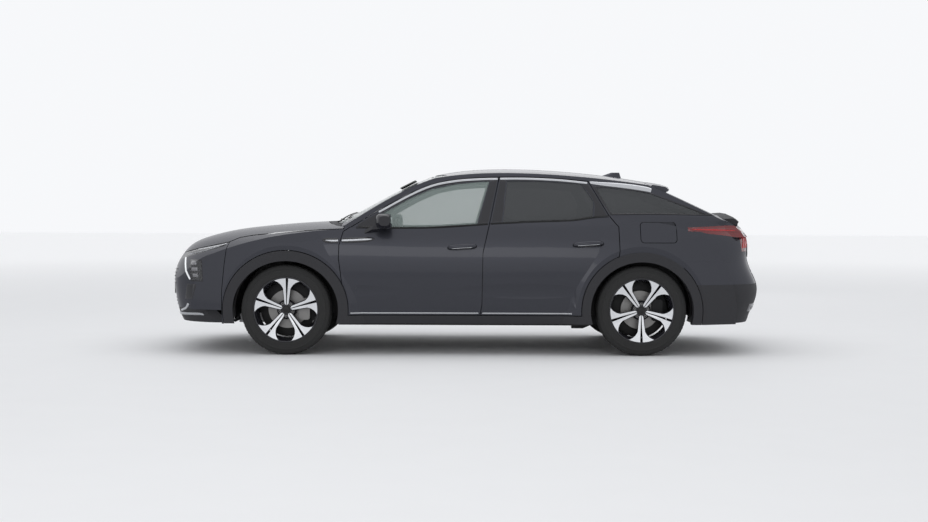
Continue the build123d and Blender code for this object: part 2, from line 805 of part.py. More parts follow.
def wheel_tub(x_wheel, inboard, outboard):
    """The tub over one wheel: an arched sheet closed on its inboard side and open below."""
    radius = TUB_RADIUS + TUB_WALL
    return cut(
        arch_prism(x_wheel, radius, radius, inboard - TUB_WALL, outboard - SEAT_GAP),
        arch_prism(x_wheel, TUB_RADIUS, TUB_RADIUS, inboard, 1200),
        block(x_wheel - 500, x_wheel + 500, 0, 1200, -100, 300),
        block(x_wheel - 150, x_wheel + 150, 0, inboard + 1, -100, 560),
    )


front_tub = wheel_tub(X_FRONT, FRONT_TUB_INSIDE, TUB_SEAT)
rear_tub = wheel_tub(X_REAR, REAR_TUB_INSIDE, INNER_WALL)
floor_half = cut(
    floor_half,
    arch_prism(X_FRONT, TUB_ROOM, TUB_ROOM, FRONT_TUB_INSIDE - TUB_WALL - SEAT_GAP),
    arch_prism(X_REAR, TUB_ROOM, TUB_ROOM, REAR_TUB_INSIDE - TUB_WALL - SEAT_GAP),
    block(*tower_room, 190, 600),
    block(895, 1015, 470, 550, 180, 330),
)
floor_half = largest(floor_half)


def turned(x_wheel, profile):
    """A ring turned about a wheel's axis. Its profile gives distance from the tread's middle, then radius."""
    with BuildPart() as ring:
        with BuildSketch(Plane.YZ.offset(x_wheel)):
            with BuildLine():
                Polyline(*[(TRACK / 2 + y, WHEEL_Z + r) for y, r in profile], close=True)
            make_face()
        revolve(axis=Axis((x_wheel, 0, WHEEL_Z), (0, 1, 0)))
    return ring.part


def wheel_at(x_wheel):
    """Tyre, rim and brake disc of the right wheel at one axle."""
    half = TYRE_WIDTH / 2
    bead = RIM_RADIUS - 12
    barrel = bead - SEAT_GAP
    flange = half - 5.5
    face = half - 12
    hub_face = face - 60.3
    tyre_side = [
        (half - 14, bead),
        (half - 10, RIM_RADIUS + 2),
        (half, RIM_RADIUS + 32),
        (half - 1, TYRE_RADIUS - 34),
        (half - 8, TYRE_RADIUS - 12),
        (half - 26, TYRE_RADIUS),
    ]
    tyre = turned(x_wheel, [(-y, r) for y, r in tyre_side] + tyre_side[::-1])
    rim_side = [
        (half - 13.4, barrel),
        (half - 9.2, RIM_RADIUS),
        (flange, RIM_RADIUS),
        (flange, RIM_RADIUS - 16),
        (half - 16, barrel - 10),
    ]
    rim_ring = turned(x_wheel, [(-y, r) for y, r in rim_side] + rim_side[::-1])
    reach = barrel - 5
    pad = [(reach * cos(radians(a)), reach * sin(radians(a))) for a in (22, 14, 4.3)]
    spoke = [(40, 4), (40, 24), (120, 22), (160, 28), (195, 52), *pad, (150, 6)]
    with BuildPart() as rim:
        add(rim_ring)
        with BuildSketch(Plane.XZ.offset(-(TRACK / 2 + face))):
            with Locations((x_wheel, WHEEL_Z)):
                Circle(70)
                with PolarLocations(0, SPOKE_PAIRS, start_angle=SPOKE_ANGLE):
                    Polygon(*spoke, align=None)
                    Polygon(*[(a, -b) for a, b in spoke], align=None)
        extrude(amount=50)
        add(
            turned(x_wheel, [(face - DISH, 0), (face - DISH, 58), (face, barrel - 8), (face + 9, 0)]),
            mode=Mode.SUBTRACT,
        )
        seat_face = hub_face + SEAT_GAP
        dish_floor = face - DISH - 4
        add(turned(x_wheel, [(seat_face, 0), (seat_face, 78), (dish_floor, 72), (dish_floor, 0)]))
    disc = turned(
        x_wheel,
        [
            (hub_face, 0),
            (hub_face, 76),
            (-20, 80),
            (-20, DISC_RADIUS),
            (-20 - DISC_THICKNESS, DISC_RADIUS),
            (-20 - DISC_THICKNESS, 66),
            (-42, 24),
            (-104, 24),
            (-104, 0),
        ],
    )
    return tyre, rim.part, disc


front_tyre, front_rim, front_disc = wheel_at(X_FRONT)
rear_tyre, rear_rim, rear_disc = wheel_at(X_REAR)

# Steering knuckle and its wishbones. The ball pins stand on the steering axis inside the rim.
KINGPIN_Y = TRACK / 2 - KINGPIN_INSET
BALL_LOW = WHEEL_Z - 140.0
BALL_HIGH = WHEEL_Z + 180.0
SPRING_RADIUS = 48.0
PIN = 8.0
EYE = 22.0


def caliper(x_wheel, side):
    """A caliper that straddles the brake disc, side -1 in front of the hub and 1 behind it."""
    with BuildPart() as body:
        with BuildSketch(Plane.XZ.offset(-(TRACK / 2 - 66))):
            with Locations((x_wheel + side * 133, WHEEL_Z)):
                RectangleRounded(86, 170, 20)
        extrude(amount=-66)
        with BuildSketch(Plane.XZ.offset(-(TRACK / 2 - 50))):
            with Locations((x_wheel, WHEEL_Z)):
                Circle(DISC_RADIUS + 3)
        extrude(amount=-34, mode=Mode.SUBTRACT)
        with BuildSketch(Plane.XZ.offset(-(TRACK / 2 - 18))):
            with Locations((x_wheel, WHEEL_Z)):
                Circle(85)
        extrude(amount=-40, mode=Mode.SUBTRACT)
    return body.part


with BuildPart() as knuckle:
    with BuildSketch(Plane.XZ.offset(-(KINGPIN_Y - 24))):
        with Locations((X_FRONT, WHEEL_Z)):
            Circle(52)
        with Locations((X_FRONT, (BALL_HIGH + BALL_LOW) / 2)):
            Rectangle(52, BALL_HIGH - BALL_LOW - 36)
        with Locations((X_FRONT + 60, WHEEL_Z)):
            Rectangle(120, 60)
    extrude(amount=-34)
    for z in (BALL_LOW, BALL_HIGH):
        with Locations((X_FRONT, KINGPIN_Y, z)):
            Cylinder(PIN, 56)
    add(caliper(X_FRONT, 1))
    with BuildSketch(Plane.XZ.offset(-600)):
        with Locations((X_FRONT, WHEEL_Z)):
            Circle(25)
    extrude(amount=-300, mode=Mode.SUBTRACT)


def wishbone(z, inboard):
    """A wishbone from its bushes to the eye round the ball pin."""
    with BuildPart() as arm:
        with BuildSketch(Plane.XY.offset(z - 11)):
            with BuildLine():
                Polyline(
                    (X_FRONT - 58, inboard),
                    (X_FRONT - 17, KINGPIN_Y),
                    (X_FRONT + 17, KINGPIN_Y),
                    (X_FRONT + 58, inboard),
                    close=True,
                )
            make_face()
            with Locations((X_FRONT, KINGPIN_Y)):
                Circle(EYE)
                Circle(PIN + 1, mode=Mode.SUBTRACT)
        extrude(amount=22)
    return arm.part


spring_top = WHEEL_Z + sqrt(TUB_RADIUS**2 - SPRING_RADIUS**2) - SEAT_GAP
suspension_half = joined(
    block(X_FRONT - 150, X_FRONT + 110, 0, 430, 200, 250),
    block(*tower, 200, BALL_HIGH + 14),
    wishbone(BALL_LOW, 420),
    wishbone(BALL_HIGH, 420),
    rod((X_FRONT, 590, BALL_LOW), (X_FRONT, 590, 700), 22),
    rod((X_FRONT, 590, 600), (X_FRONT, 590, spring_top), SPRING_RADIUS),
)
arm_profile = [(-520, 186), (-430, 186), (-300, 240), (60, 240)]
arm_profile += [(60, 310), (-330, 310), (-470, 225.7), (-520, 225.7)]
with BuildPart() as trailing_arm:
    with BuildSketch(Plane.XZ.offset(-480)):
        with BuildLine():
            Polyline(*[(X_REAR + dx, z) for dx, z in arm_profile], close=True)
        make_face()
    extrude(amount=-60)
    with BuildSketch(Plane.XZ.offset(-500)):
        with Locations((X_REAR, WHEEL_Z - 20)):
            Rectangle(110, 150)
    extrude(amount=-(KINGPIN_Y + 10 - 500))
    with BuildSketch(Plane.XZ.offset(-(KINGPIN_Y - 24))):
        with Locations((X_REAR + 60, WHEEL_Z)):
            Rectangle(120, 60)
    extrude(amount=-34)
    with BuildSketch(Plane.XZ.offset(-690)):
        with Locations((X_REAR, WHEEL_Z)):
            Circle(25)
    extrude(amount=-200, mode=Mode.SUBTRACT)
axle_half = joined(
    trailing_arm.part,
    caliper(X_REAR, 1),
    block(X_REAR - 165, X_REAR - 95, 0, 500, 245, 305),
    rod((X_REAR - 130, 430, 290), (X_REAR - 130, 430, 500 - SEAT_GAP), 50),
)


def seat(x, y, half_width, back_top, head_top):
    """A car seat: cushion, leaning back and head rest, centred on y."""
    cushion = [(-400, 262.3), (60, 262.3), (110, 430), (90, 520), (-300, 500), (-440, 530), (-470, 470)]
    back = [(40, 420), (150, 430), (330, back_top - 40), (290, back_top), (220, back_top - 10)]
    rest = [(255, back_top - 20), (310, back_top - 20), (350, head_top), (290, head_top + 10)]
    with BuildPart() as seat_part:
        for width, points in ((half_width, cushion), (half_width - 15, back), (half_width * 0.45, rest)):
            with BuildSketch(Plane.XZ.offset(-(y - width))):
                with BuildLine():
                    Polyline(*[(x + dx, z) for dx, z in points], close=True)
                make_face()
            extrude(amount=-2 * width)
    return seat_part.part


with BuildPart() as rear_seat_half:
    for width, points in (
        (640, [(440, 262.3), (950, 262.3), (955, 480), (900, 520), (520, 520), (430, 470)]),
        (545, [(890, 500), (955, 490), (955, 531), (1040, 531), (1190, 930), (1110, 960), (1060, 930)]),
    ):
        with BuildSketch(Plane.XZ):
            with BuildLine():
                Polyline(*side_points(points), close=True)
            make_face()
        extrude(amount=-width)

with BuildPart() as dashboard_half:
    with BuildSketch(Plane.XZ):
        with BuildLine():
            Polyline(
                *side_points([
                    (-984.5, 700),
                    (-984.5, 930),
                    (-900, 962),
                    (-720, 946),
                    (-630, 905),
                    (-640, 830),
                    (-700, 720),
                    (-800, 640),
                    (-900, 630),
                ]),
                close=True,
            )
        make_face()
    extrude(amount=-735)

# Steering wheel on its column, left of the middle
WHEEL_SEAT_Y = -370.0
COLUMN_RADIUS = 30.0
COLUMN_LENGTH = 160.0
wheel_plane = Plane(origin=(at(-490), WHEEL_SEAT_Y, up(900)), x_dir=(0, 1, 0), z_dir=(0.9, 0, 0.42))
with BuildPart() as steering_wheel:
    with BuildSketch(wheel_plane):
        Circle(182)
        Circle(156, mode=Mode.SUBTRACT)
    extrude(amount=12, both=True)
    with BuildSketch(wheel_plane):
        Circle(62)
        Rectangle(330, 34)
        with Locations((0, -80)):
            Rectangle(40, 160)
    extrude(amount=8, both=True)
    with BuildSketch(wheel_plane):
        Circle(COLUMN_RADIUS)
    extrude(amount=-COLUMN_LENGTH)

column_start = wheel_plane.origin
column_end = column_start - wheel_plane.z_dir * (COLUMN_LENGTH + SEAT_GAP)
dashboard = cut(
    whole(common(dashboard_half.part, RING_INSIDE)),
    rod(tuple(column_start), tuple(column_end), COLUMN_RADIUS + SEAT_GAP),
)

# Fuel flap, in the left quarter
flap_x0, flap_x1, flap_z0, flap_z1, flap_corner = FUEL_FLAP
flap_points = [(flap_x0, flap_z0), (flap_x1, flap_z0), (flap_x1, flap_z1), (flap_x0, flap_z1)]
flap_outer = side_prism(flap_points, out(780), 1200, corner=flap_corner)
flap_region = side_prism(flap_points, 0, 1200, corner=flap_corner, grow=-5)
flap_right = largest(cut(common(OUTER, flap_region), UNDER_DOOR_SKIN))

# Export
singles = {
    "floor_pan": whole(floor_half),
    "roof_panel": whole(roof_half),
    "cowl_panel": whole(cowl_half),
    "front_bumper": whole(bumper_half),
    "grille": whole(grille_half),
    "bumper_valances": joined(whole(front_lip_half), whole(valance_half)),
    "rear_bumper": whole(rear_bumper_half),
    "windscreen": whole(screen_half),
    "bonnet": whole(bonnet_half),
    "tailgate": whole(tailgate_half),
    "tailgate_glass": whole(tailgate_glass_half),
    "deck_spoiler": whole(deck_blade_half),
    "front_suspension": whole(suspension_half),
    "rear_axle": whole(axle_half),
    "rear_seat": whole(rear_seat_half.part),
    "dashboard": dashboard,
    "wheel_tubs": whole(joined(front_tub, rear_tub)),
    "steering_wheel": steering_wheel.part,
    "engine_block": block(X_FRONT - 450, X_FRONT - 150 - SEAT_GAP, -380, 380, 215, 850),
    "front_fenders": whole(fender),
    "quarter_glass": whole(right_quarter_glass),
    "headlamps": whole(joined(headlamp, side_lamp)),
    "tail_lamps": whole(rear_lamp),
    "arch_and_sill_trim": whole(joined(front_trim, rear_trim, sill_trim)),
    "front_seats": whole(seat(0, 370, 255, 900, 1090)),
}
for name, piece in singles.items():
    piece.label = name
    export_step(piece, f"parts/{name}.step")

pairs = {
    "body_side": body_side,
    "front_door": right_front_door,
    "rear_door": right_rear_door,
    "front_door_glass": right_front_glass,
    "rear_door_glass": right_rear_glass,
    "door_mirror": mirror_right,
    "steering_knuckle": knuckle.part,
    "front_tyre": front_tyre,
    "front_rim": front_rim,
    "front_disc": front_disc,
    "rear_tyre": rear_tyre,
    "rear_rim": rear_rim,
    "rear_disc": rear_disc,
}
for name, piece in pairs.items():
    for side in ("right", "left"):
        with BuildPart() as handed:
            add(piece)
            if side == "left":
                mirror(piece, about=Plane.XZ, mode=Mode.REPLACE)
                if name == "body_side":
                    add(mirror(flap_outer, about=Plane.XZ, mode=Mode.PRIVATE), mode=Mode.SUBTRACT)
        handed.part.label = f"{name}_{side}"
        export_step(handed.part, f"parts/{name}_{side}.step")

with BuildPart() as fuel_flap:
    mirror(flap_right, about=Plane.XZ)
fuel_flap.part.label = "fuel_flap"
export_step(fuel_flap.part, "parts/fuel_flap.step")
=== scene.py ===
import math

import bmesh
import bpy
from mathutils import Matrix, Vector
from mathutils.bvhtree import BVHTree


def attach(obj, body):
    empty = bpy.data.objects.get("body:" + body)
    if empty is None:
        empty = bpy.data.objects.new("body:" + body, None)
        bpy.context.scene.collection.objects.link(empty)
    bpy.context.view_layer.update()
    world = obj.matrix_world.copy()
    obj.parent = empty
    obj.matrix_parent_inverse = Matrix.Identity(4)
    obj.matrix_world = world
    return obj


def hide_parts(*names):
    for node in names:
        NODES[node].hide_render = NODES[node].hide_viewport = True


bl_info = {
    "name": "Fastback Crossover",
    "version": (1, 0, 0),
    "blender": (4, 5, 0),
    "location": "View3D > Sidebar > Crossover",
    "description": "Dresses the packed fastback crossover with materials, trim, lamps, wheels and cabin",
    "category": "Object",
}

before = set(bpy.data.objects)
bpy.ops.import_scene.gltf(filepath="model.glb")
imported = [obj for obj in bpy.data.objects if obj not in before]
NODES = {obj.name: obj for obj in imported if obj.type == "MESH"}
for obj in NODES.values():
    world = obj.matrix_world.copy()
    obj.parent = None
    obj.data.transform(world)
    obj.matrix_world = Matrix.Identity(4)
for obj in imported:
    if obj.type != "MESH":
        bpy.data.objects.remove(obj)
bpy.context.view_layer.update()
SIDES = (("left", -1), ("right", 1))

AXLES = {"front": -1.4075, "rear": 1.3775}
HUB_Y = 0.8
HUB_Z = 0.354
DRAWN_RADIUS = 0.354  # the tyre radius for which the tyre's section is drawn
RIM_EDGE = 0.2555  # no spoke reaches farther out than this
GUARD_RADIUS = 0.415  # the splash guards' radius about the axle
SIDE_PANEL = 0.62  # where a seat's side panels begin, as a share of its half width


def link(name, mesh):
    obj = bpy.data.objects.new(name, mesh)
    bpy.context.scene.collection.objects.link(obj)
    return obj


def piece(name, verts, faces, materials, body, index=None, smooth=True, replaces=()):
    """A mesh piece that rides on a CAD body. index gives each face's place in materials."""
    mesh = bpy.data.meshes.new(name)
    mesh.from_pydata([tuple(v) for v in verts], [], [tuple(f) for f in faces])
    mesh.validate()
    for material in [materials] if isinstance(materials, str) else materials:
        mesh.materials.append(m(material))
    if index:
        for polygon, i in zip(mesh.polygons, index):
            polygon.material_index = i
    bm = bmesh.new()
    bm.from_mesh(mesh)
    bmesh.ops.recalc_face_normals(bm, faces=bm.faces)
    bm.to_mesh(mesh)
    bm.free()
    for polygon in mesh.polygons:
        polygon.use_smooth = smooth
    obj = link(name, mesh)
    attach(obj, body)
    if replaces:
        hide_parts(*replaces)
    return obj


def tree_of(*names):
    """A search tree over the meshes of some CAD nodes."""
    verts, faces = [], []
    for name in names:
        mesh = NODES[name].data
        start = len(verts)
        verts.extend(v.co.copy() for v in mesh.vertices)
        faces.extend([start + i for i in p.vertices] for p in mesh.polygons)
    return BVHTree.FromPolygons(verts, faces)


def caster(direction, *names, reach=3.0):
    """A function that finds the surface of some CAD nodes, looking along an axis.

    Along y it takes station and height, along x half width and height, along z station and half width.
    """
    tree = tree_of(*names)
    direction = Vector(direction)
    axis = [abs(c) for c in direction].index(1)

    def find(a, b):
        start = [a, b]
        start.insert(axis, -direction[axis] * 3.0)
        hit, normal, _, _ = tree.ray_cast(Vector(start), direction, reach)
        if hit is None:
            return None
        if normal.dot(direction) > 0:
            normal = -normal
        return hit, normal

    return find


def side_of(side, *names):
    return caster((0, -side, 0), *names, reach=2.6)


def smooth_line(points, count):
    """count points on a smooth line through the given ones."""
    out = []
    last = len(points) - 1
    for k in range(count):
        t = k / (count - 1) * last
        i = min(int(t), last - 1)
        f = t - i
        p = [Vector(points[min(max(i + d, 0), last)]) for d in (-1, 0, 1, 2)]
        a = 2 * p[1]
        b = (p[2] - p[0]) * f
        c = (2 * p[0] - 5 * p[1] + 4 * p[2] - p[3]) * f * f
        d = (3 * p[1] - p[0] - 3 * p[2] + p[3]) * f * f * f
        out.append((a + b + c + d) * 0.5)
    return out


CROWN = ((-1, -0.0015), (-0.92, 0.7), (-0.5, 1.0), (0.5, 1.0), (0.92, 0.7), (1, -0.0015))


def ribbon(name, find, path, half, lift, material, body, count=60):
    """A crowned strip that lies on a surface along a path. half may depend on the place along it."""
    line = smooth_line([(a, b, 0) for a, b in path], count)
    rows = []
    for k, p in enumerate(line):
        ahead = line[min(k + 1, count - 1)] - line[max(k - 1, 0)]
        across = Vector((-ahead.y, ahead.x)).normalized()
        t = k / (count - 1)
        wide = half(t) if callable(half) else half
        row = []
        for s, h in CROWN:
            found = find(p.x + across.x * s * wide, p.y + across.y * s * wide)
            if found is None:
                row = None
                break
            row.append(found[0] + found[1] * (h * lift if h > 0 else h))
        if row:
            rows.append(row)
    if len(rows) < 2:
        raise RuntimeError(f"{name} finds no surface to lie on")
    return sheet_piece(name, rows, material, body)


def sheet_piece(name, rows, material, body, ends=True):
    """A sheet from rows of points, with its two end rows filled."""
    verts = [v for row in rows for v in row]
    n = len(rows[0])
    faces = []
    for i in range(len(rows) - 1):
        for j in range(n - 1):
            a = i * n + j
            faces.append((a, a + 1, a + n + 1, a + n))
    if ends:
        faces.append(tuple(range(n)))
        faces.append(tuple(range((len(rows) - 1) * n, len(rows) * n))[::-1])
    return piece(name, verts, faces, material, body)


def straight_line(ends, count):
    """count points on the straight line between the first and the last of the given ones."""
    a, b = Vector((*ends[0], 0)), Vector((*ends[-1], 0))
    return [a.lerp(b, k / (count - 1)) for k in range(count)]


def patch(
    name, find, lower, upper, lift, material, body, across=6, along=40, straight=False,
):
    """A thin sheet that covers a surface between two lines."""
    if straight:
        low, high = straight_line(lower, along), straight_line(upper, along)
    else:
        low, high = (smooth_line([(a, b, 0) for a, b in line], along) for line in (lower, upper))
    rows = []
    for k, (a, b) in enumerate(zip(low, high)):
        row = []
        for j in range(across + 1):
            p = a.lerp(b, j / across)
            found = find(p.x, p.y)
            if found is None:
                row = None
                break
            edge = j in (0, across) or k in (0, along - 1)
            row.append(found[0] + found[1] * (-0.001 if edge else lift))
        if row:
            rows.append(row)
    if len(rows) < 2:
        raise RuntimeError(f"{name} finds no surface to lie on")
    return sheet_piece(name, rows, material, body, ends=False)


def ribbons(side, rows):
    """Ribbons on one side, from rows of name, surface, body, finish, lift, count, half width and path."""
    for name, find, body, finish, lift, count, half, path in rows:
        ribbon(f"{name}_{side}", find, path, half, lift, finish, body, count)


def patches(side, rows):
    """Patches on one side, from rows of name, surface, body, finish, slot, lift, across, along, two lines.

    A row that ends in True has straight lines, given by their ends.
    """
    for name, find, body, finish, slot, lift, across, along, lower, upper, *straight in rows:
        patch(
            f"{name}_{side}", find, lower, upper, lift, finish, body, across, along,
            straight=bool(straight),
        )


def bar(name, find, path, half, thick, lift, material, body, count=36):
    """A closed bar that bows off a surface, such as a door handle. lift(t) is its middle's height."""
    line = smooth_line([(a, b, 0) for a, b in path], count)
    rows = []
    for k, p in enumerate(line):
        t = k / (count - 1)
        ahead = line[min(k + 1, count - 1)] - line[max(k - 1, 0)]
        across = Vector((-ahead.y, ahead.x)).normalized()
        found = find(p.x, p.y)
        if found is None:
            continue
        hit, normal = found
        taper = min(1, 4.5 * min(t, 1 - t) + 0.35)
        side = find(p.x + across.x * 0.01, p.y + across.y * 0.01)
        edge = ((side[0] if side else hit + Vector((0, 0, 0.01))) - hit).normalized()
        row = []
        for s in range(12):
            angle = 2 * math.pi * s / 12
            out = normal * (lift(t) + thick * taper * math.sin(angle))
            row.append(hit + out + edge * half * taper * math.cos(angle))
        row.append(row[0])
        rows.append(row)
    return sheet_piece(name, rows, material, body)


def lathe(name, profile, centre, material, body, segments=96, replaces=(), wave=None):
    """A ring turned about a wheel's axis, from (offset outboard, radius). wave may change a radius."""
    x0, y0, z0, side = centre
    verts, faces = [], []
    n = len(profile)
    for k in range(segments):
        angle = 2 * math.pi * k / segments
        for j, (y, r) in enumerate(profile):
            if wave:
                r = wave(j, k, r)
            verts.append((x0 + r * math.cos(angle), y0 + side * y, z0 + r * math.sin(angle)))
    for k in range(segments):
        after = (k + 1) % segments
        for j in range(n - 1):
            faces.append((k * n + j, k * n + j + 1, after * n + j + 1, after * n + j))
    return piece(name, verts, faces, material, body, replaces=replaces)


def ring_faces(count, around, closed=False):
    """Faces that join each ring of points to the next one."""
    faces = []
    for i in range(count if closed else count - 1):
        after = (i + 1) % count
        for k in range(around):
            q = (k + 1) % around
            faces.append((i * around + k, i * around + q, after * around + q, after * around + k))
    return faces


def tube(path, radius, sides=10, closed=False):
    """Vertices and faces of a round tube along 3-D points."""
    pts = [Vector(p) for p in path]
    verts = []
    up = Vector((0, 0, 1))
    n = len(pts)
    for i, p in enumerate(pts):
        if closed:
            d = pts[(i + 1) % n] - pts[i - 1]
        else:
            d = pts[min(i + 1, n - 1)] - pts[max(i - 1, 0)]
        d.normalize()
        a = d.cross(up)
        if a.length < 1e-4:
            a = d.cross(Vector((1, 0, 0)))
        a.normalize()
        b = d.cross(a)
        r = radius(i / (n - 1)) if callable(radius) else radius
        for k in range(sides):
            t = 2 * math.pi * k / sides
            verts.append(p + (a * math.cos(t) + b * math.sin(t)) * r)
    faces = ring_faces(n, sides, closed)
    if not closed:
        faces.append(tuple(range(sides))[::-1])
        faces.append(tuple(range((n - 1) * sides, n * sides)))
    return verts, faces


def gather(parts):
    """Joins (verts, faces) lists, optionally with a material index each, into one."""
    verts, faces, index = [], [], []
    for part in parts:
        start = len(verts)
        verts.extend(part[0])
        faces.extend([tuple(start + i for i in f) for f in part[1]])
        index.extend([part[2] if len(part) > 2 else 0] * len(part[1]))
    return verts, faces, index


def rounded_box(size, centre, radius=0.35, cuts=10, shape=None, turn=0.0):
    """A soft box: a subdivided cube pushed towards a rounded form. shape(u, v, w) may move a point."""
    bm = bmesh.new()
    bmesh.ops.create_cube(bm, size=2)
    bmesh.ops.subdivide_edges(bm, edges=bm.edges, cuts=cuts, use_grid_fill=True)
    turned = Matrix.Rotation(turn, 3, "Y")
    verts = []
    for v in bm.verts:
        p = v.co.copy()
        inner = Vector([max(-1 + radius, min(1 - radius, c)) for c in p])
        d = p - inner
        if d.length > 1e-6:
            p = inner + d.normalized() * radius
        offset = shape(p.x, p.y, p.z) if shape else Vector((0, 0, 0))
        q = Vector((p.x * size[0] / 2, p.y * size[1] / 2, p.z * size[2] / 2)) + offset
        verts.append(turned @ q + Vector(centre))
    faces = [tuple(v.index for v in f.verts) for f in bm.faces]
    bm.free()
    return verts, faces


def soft_box(
    name, size, centre, radius, cuts, finish, body, shape=None, turn=0, replaces=(),
):
    """A rounded box as a piece of its own, turned by some degrees about the y axis."""
    verts, faces = rounded_box(size, centre, radius, cuts, shape, math.radians(turn))
    return piece(name, verts, faces, finish, body, replaces=replaces)


def effect(name, inputs, outputs, build):
    """A shader node group with named sockets, made once."""
    if name in bpy.data.node_groups:
        return bpy.data.node_groups[name]
    group = bpy.data.node_groups.new(name, "ShaderNodeTree")
    for label, kind, default in inputs:
        socket = group.interface.new_socket(label, in_out="INPUT", socket_type=kind)
        if default is not None:
            socket.default_value = default
    for label, kind in outputs:
        group.interface.new_socket(label, in_out="OUTPUT", socket_type=kind)
    entry = group.nodes.new("NodeGroupInput")
    leave = group.nodes.new("NodeGroupOutput")
    build(group, entry, leave)
    return group


def node(tree, kind, inputs=(), **facts):
    made = tree.nodes.new(kind)
    for key, value in facts.items():
        setattr(made, key, value)
    for key, value in dict(inputs).items():
        if hasattr(value, "is_output") or isinstance(value, bpy.types.NodeSocket):
            tree.links.new(value, made.inputs[key])
        else:
            made.inputs[key].default_value = value
    return made


def grain_effect():
    def build(group, entry, leave):
        where = node(group, "ShaderNodeTexCoord")
        noise = node(
            group, "ShaderNodeTexNoise",
            {"Vector": where.outputs["Object"], "Scale": entry.outputs["Scale"], "Detail": 6.0},
        )
        bump = node(
            group, "ShaderNodeBump",
            {
                "Height": noise.outputs["Fac"], "Strength": entry.outputs["Strength"],
                "Distance": entry.outputs["Depth"],
            },
        )
        group.links.new(bump.outputs["Normal"], leave.inputs["Normal"])
        spread = node(
            group, "ShaderNodeMapRange",
            {
                "Value": noise.outputs["Fac"], "From Min": 0.3, "From Max": 0.7,
                "To Min": entry.outputs["Low"], "To Max": entry.outputs["High"],
            },
        )
        group.links.new(spread.outputs["Result"], leave.inputs["Roughness"])

    return effect(
        "Surface Grain",
        [
            ("Scale", "NodeSocketFloat", 800.0), ("Strength", "NodeSocketFloat", 0.2),
            ("Depth", "NodeSocketFloat", 0.0004), ("Low", "NodeSocketFloat", 0.4),
            ("High", "NodeSocketFloat", 0.6),
        ],
        [("Normal", "NodeSocketVector"), ("Roughness", "NodeSocketFloat")],
        build,
    )


def tone_effect():
    def build(group, entry, leave):
        where = node(group, "ShaderNodeTexCoord")
        noise = node(
            group, "ShaderNodeTexNoise",
            {"Vector": where.outputs["Object"], "Scale": entry.outputs["Scale"], "Detail": 4.0},
        )
        mixed = node(group, "ShaderNodeMix", data_type="RGBA")
        group.links.new(noise.outputs["Fac"], mixed.inputs[0])
        group.links.new(entry.outputs["Dark"], mixed.inputs[6])
        group.links.new(entry.outputs["Light"], mixed.inputs[7])
        group.links.new(mixed.outputs[2], leave.inputs["Color"])

    return effect(
        "Tone Variation",
        [
            ("Scale", "NodeSocketFloat", 30.0), ("Dark", "NodeSocketColor", (0, 0, 0, 1)),
            ("Light", "NodeSocketColor", (1, 1, 1, 1)),
        ],
        [("Color", "NodeSocketColor")],
        build,
    )


def weave_effect():
    def build(group, entry, leave):
        where = node(group, "ShaderNodeTexCoord")
        waves = []
        for axis in ("X", "Z"):
            wave = node(
                group, "ShaderNodeTexWave",
                {
                    "Vector": where.outputs["Object"], "Scale": entry.outputs["Scale"],
                    "Distortion": 1.2, "Detail": 1.0,
                },
                bands_direction=axis,
            )
            waves.append(wave)
        both = node(group, "ShaderNodeMath", operation="MULTIPLY")
        group.links.new(waves[0].outputs["Fac"], both.inputs[0])
        group.links.new(waves[1].outputs["Fac"], both.inputs[1])
        bump = node(
            group, "ShaderNodeBump",
            {"Height": both.outputs[0], "Strength": entry.outputs["Strength"], "Distance": 0.0006},
        )
        group.links.new(bump.outputs["Normal"], leave.inputs["Normal"])
        mixed = node(group, "ShaderNodeMix", data_type="RGBA")
        group.links.new(both.outputs[0], mixed.inputs[0])
        group.links.new(entry.outputs["Dark"], mixed.inputs[6])
        group.links.new(entry.outputs["Light"], mixed.inputs[7])
        group.links.new(mixed.outputs[2], leave.inputs["Color"])

    return effect(
        "Woven Cloth",
        [
            ("Scale", "NodeSocketFloat", 120.0), ("Strength", "NodeSocketFloat", 0.5),
            ("Dark", "NodeSocketColor", (0, 0, 0, 1)), ("Light", "NodeSocketColor", (1, 1, 1, 1)),
        ],
        [("Color", "NodeSocketColor"), ("Normal", "NodeSocketVector")],
        build,
    )


def with_effect(material, effect_group, values, links):
    """Adds a shared effect with its own values, whose outputs go to the sockets named in links."""
    tree = material.node_tree
    group = node(tree, "ShaderNodeGroup", values, node_tree=effect_group)
    for output, socket in links.items():
        tree.links.new(group.outputs[output], tree.nodes["Principled BSDF"].inputs[socket])


def with_grain(material, scale, strength, low=None, high=None, depth=0.0004):
    values = {"Scale": scale, "Strength": strength, "Depth": depth}
    links = {"Normal": "Normal"}
    if low is not None:
        values.update(Low=low, High=high)
        links["Roughness"] = "Roughness"
    with_effect(material, grain_effect(), values, links)


def with_tone(material, dark, light, scale):
    values = {"Scale": scale, "Dark": (*dark, 1), "Light": (*light, 1)}
    with_effect(material, tone_effect(), values, {"Color": "Base Color"})


def with_weave(material, dark, light, scale, strength):
    values = {"Scale": scale, "Strength": strength, "Dark": (*dark, 1), "Light": (*light, 1)}
    with_effect(material, weave_effect(), values, {"Color": "Base Color", "Normal": "Normal"})


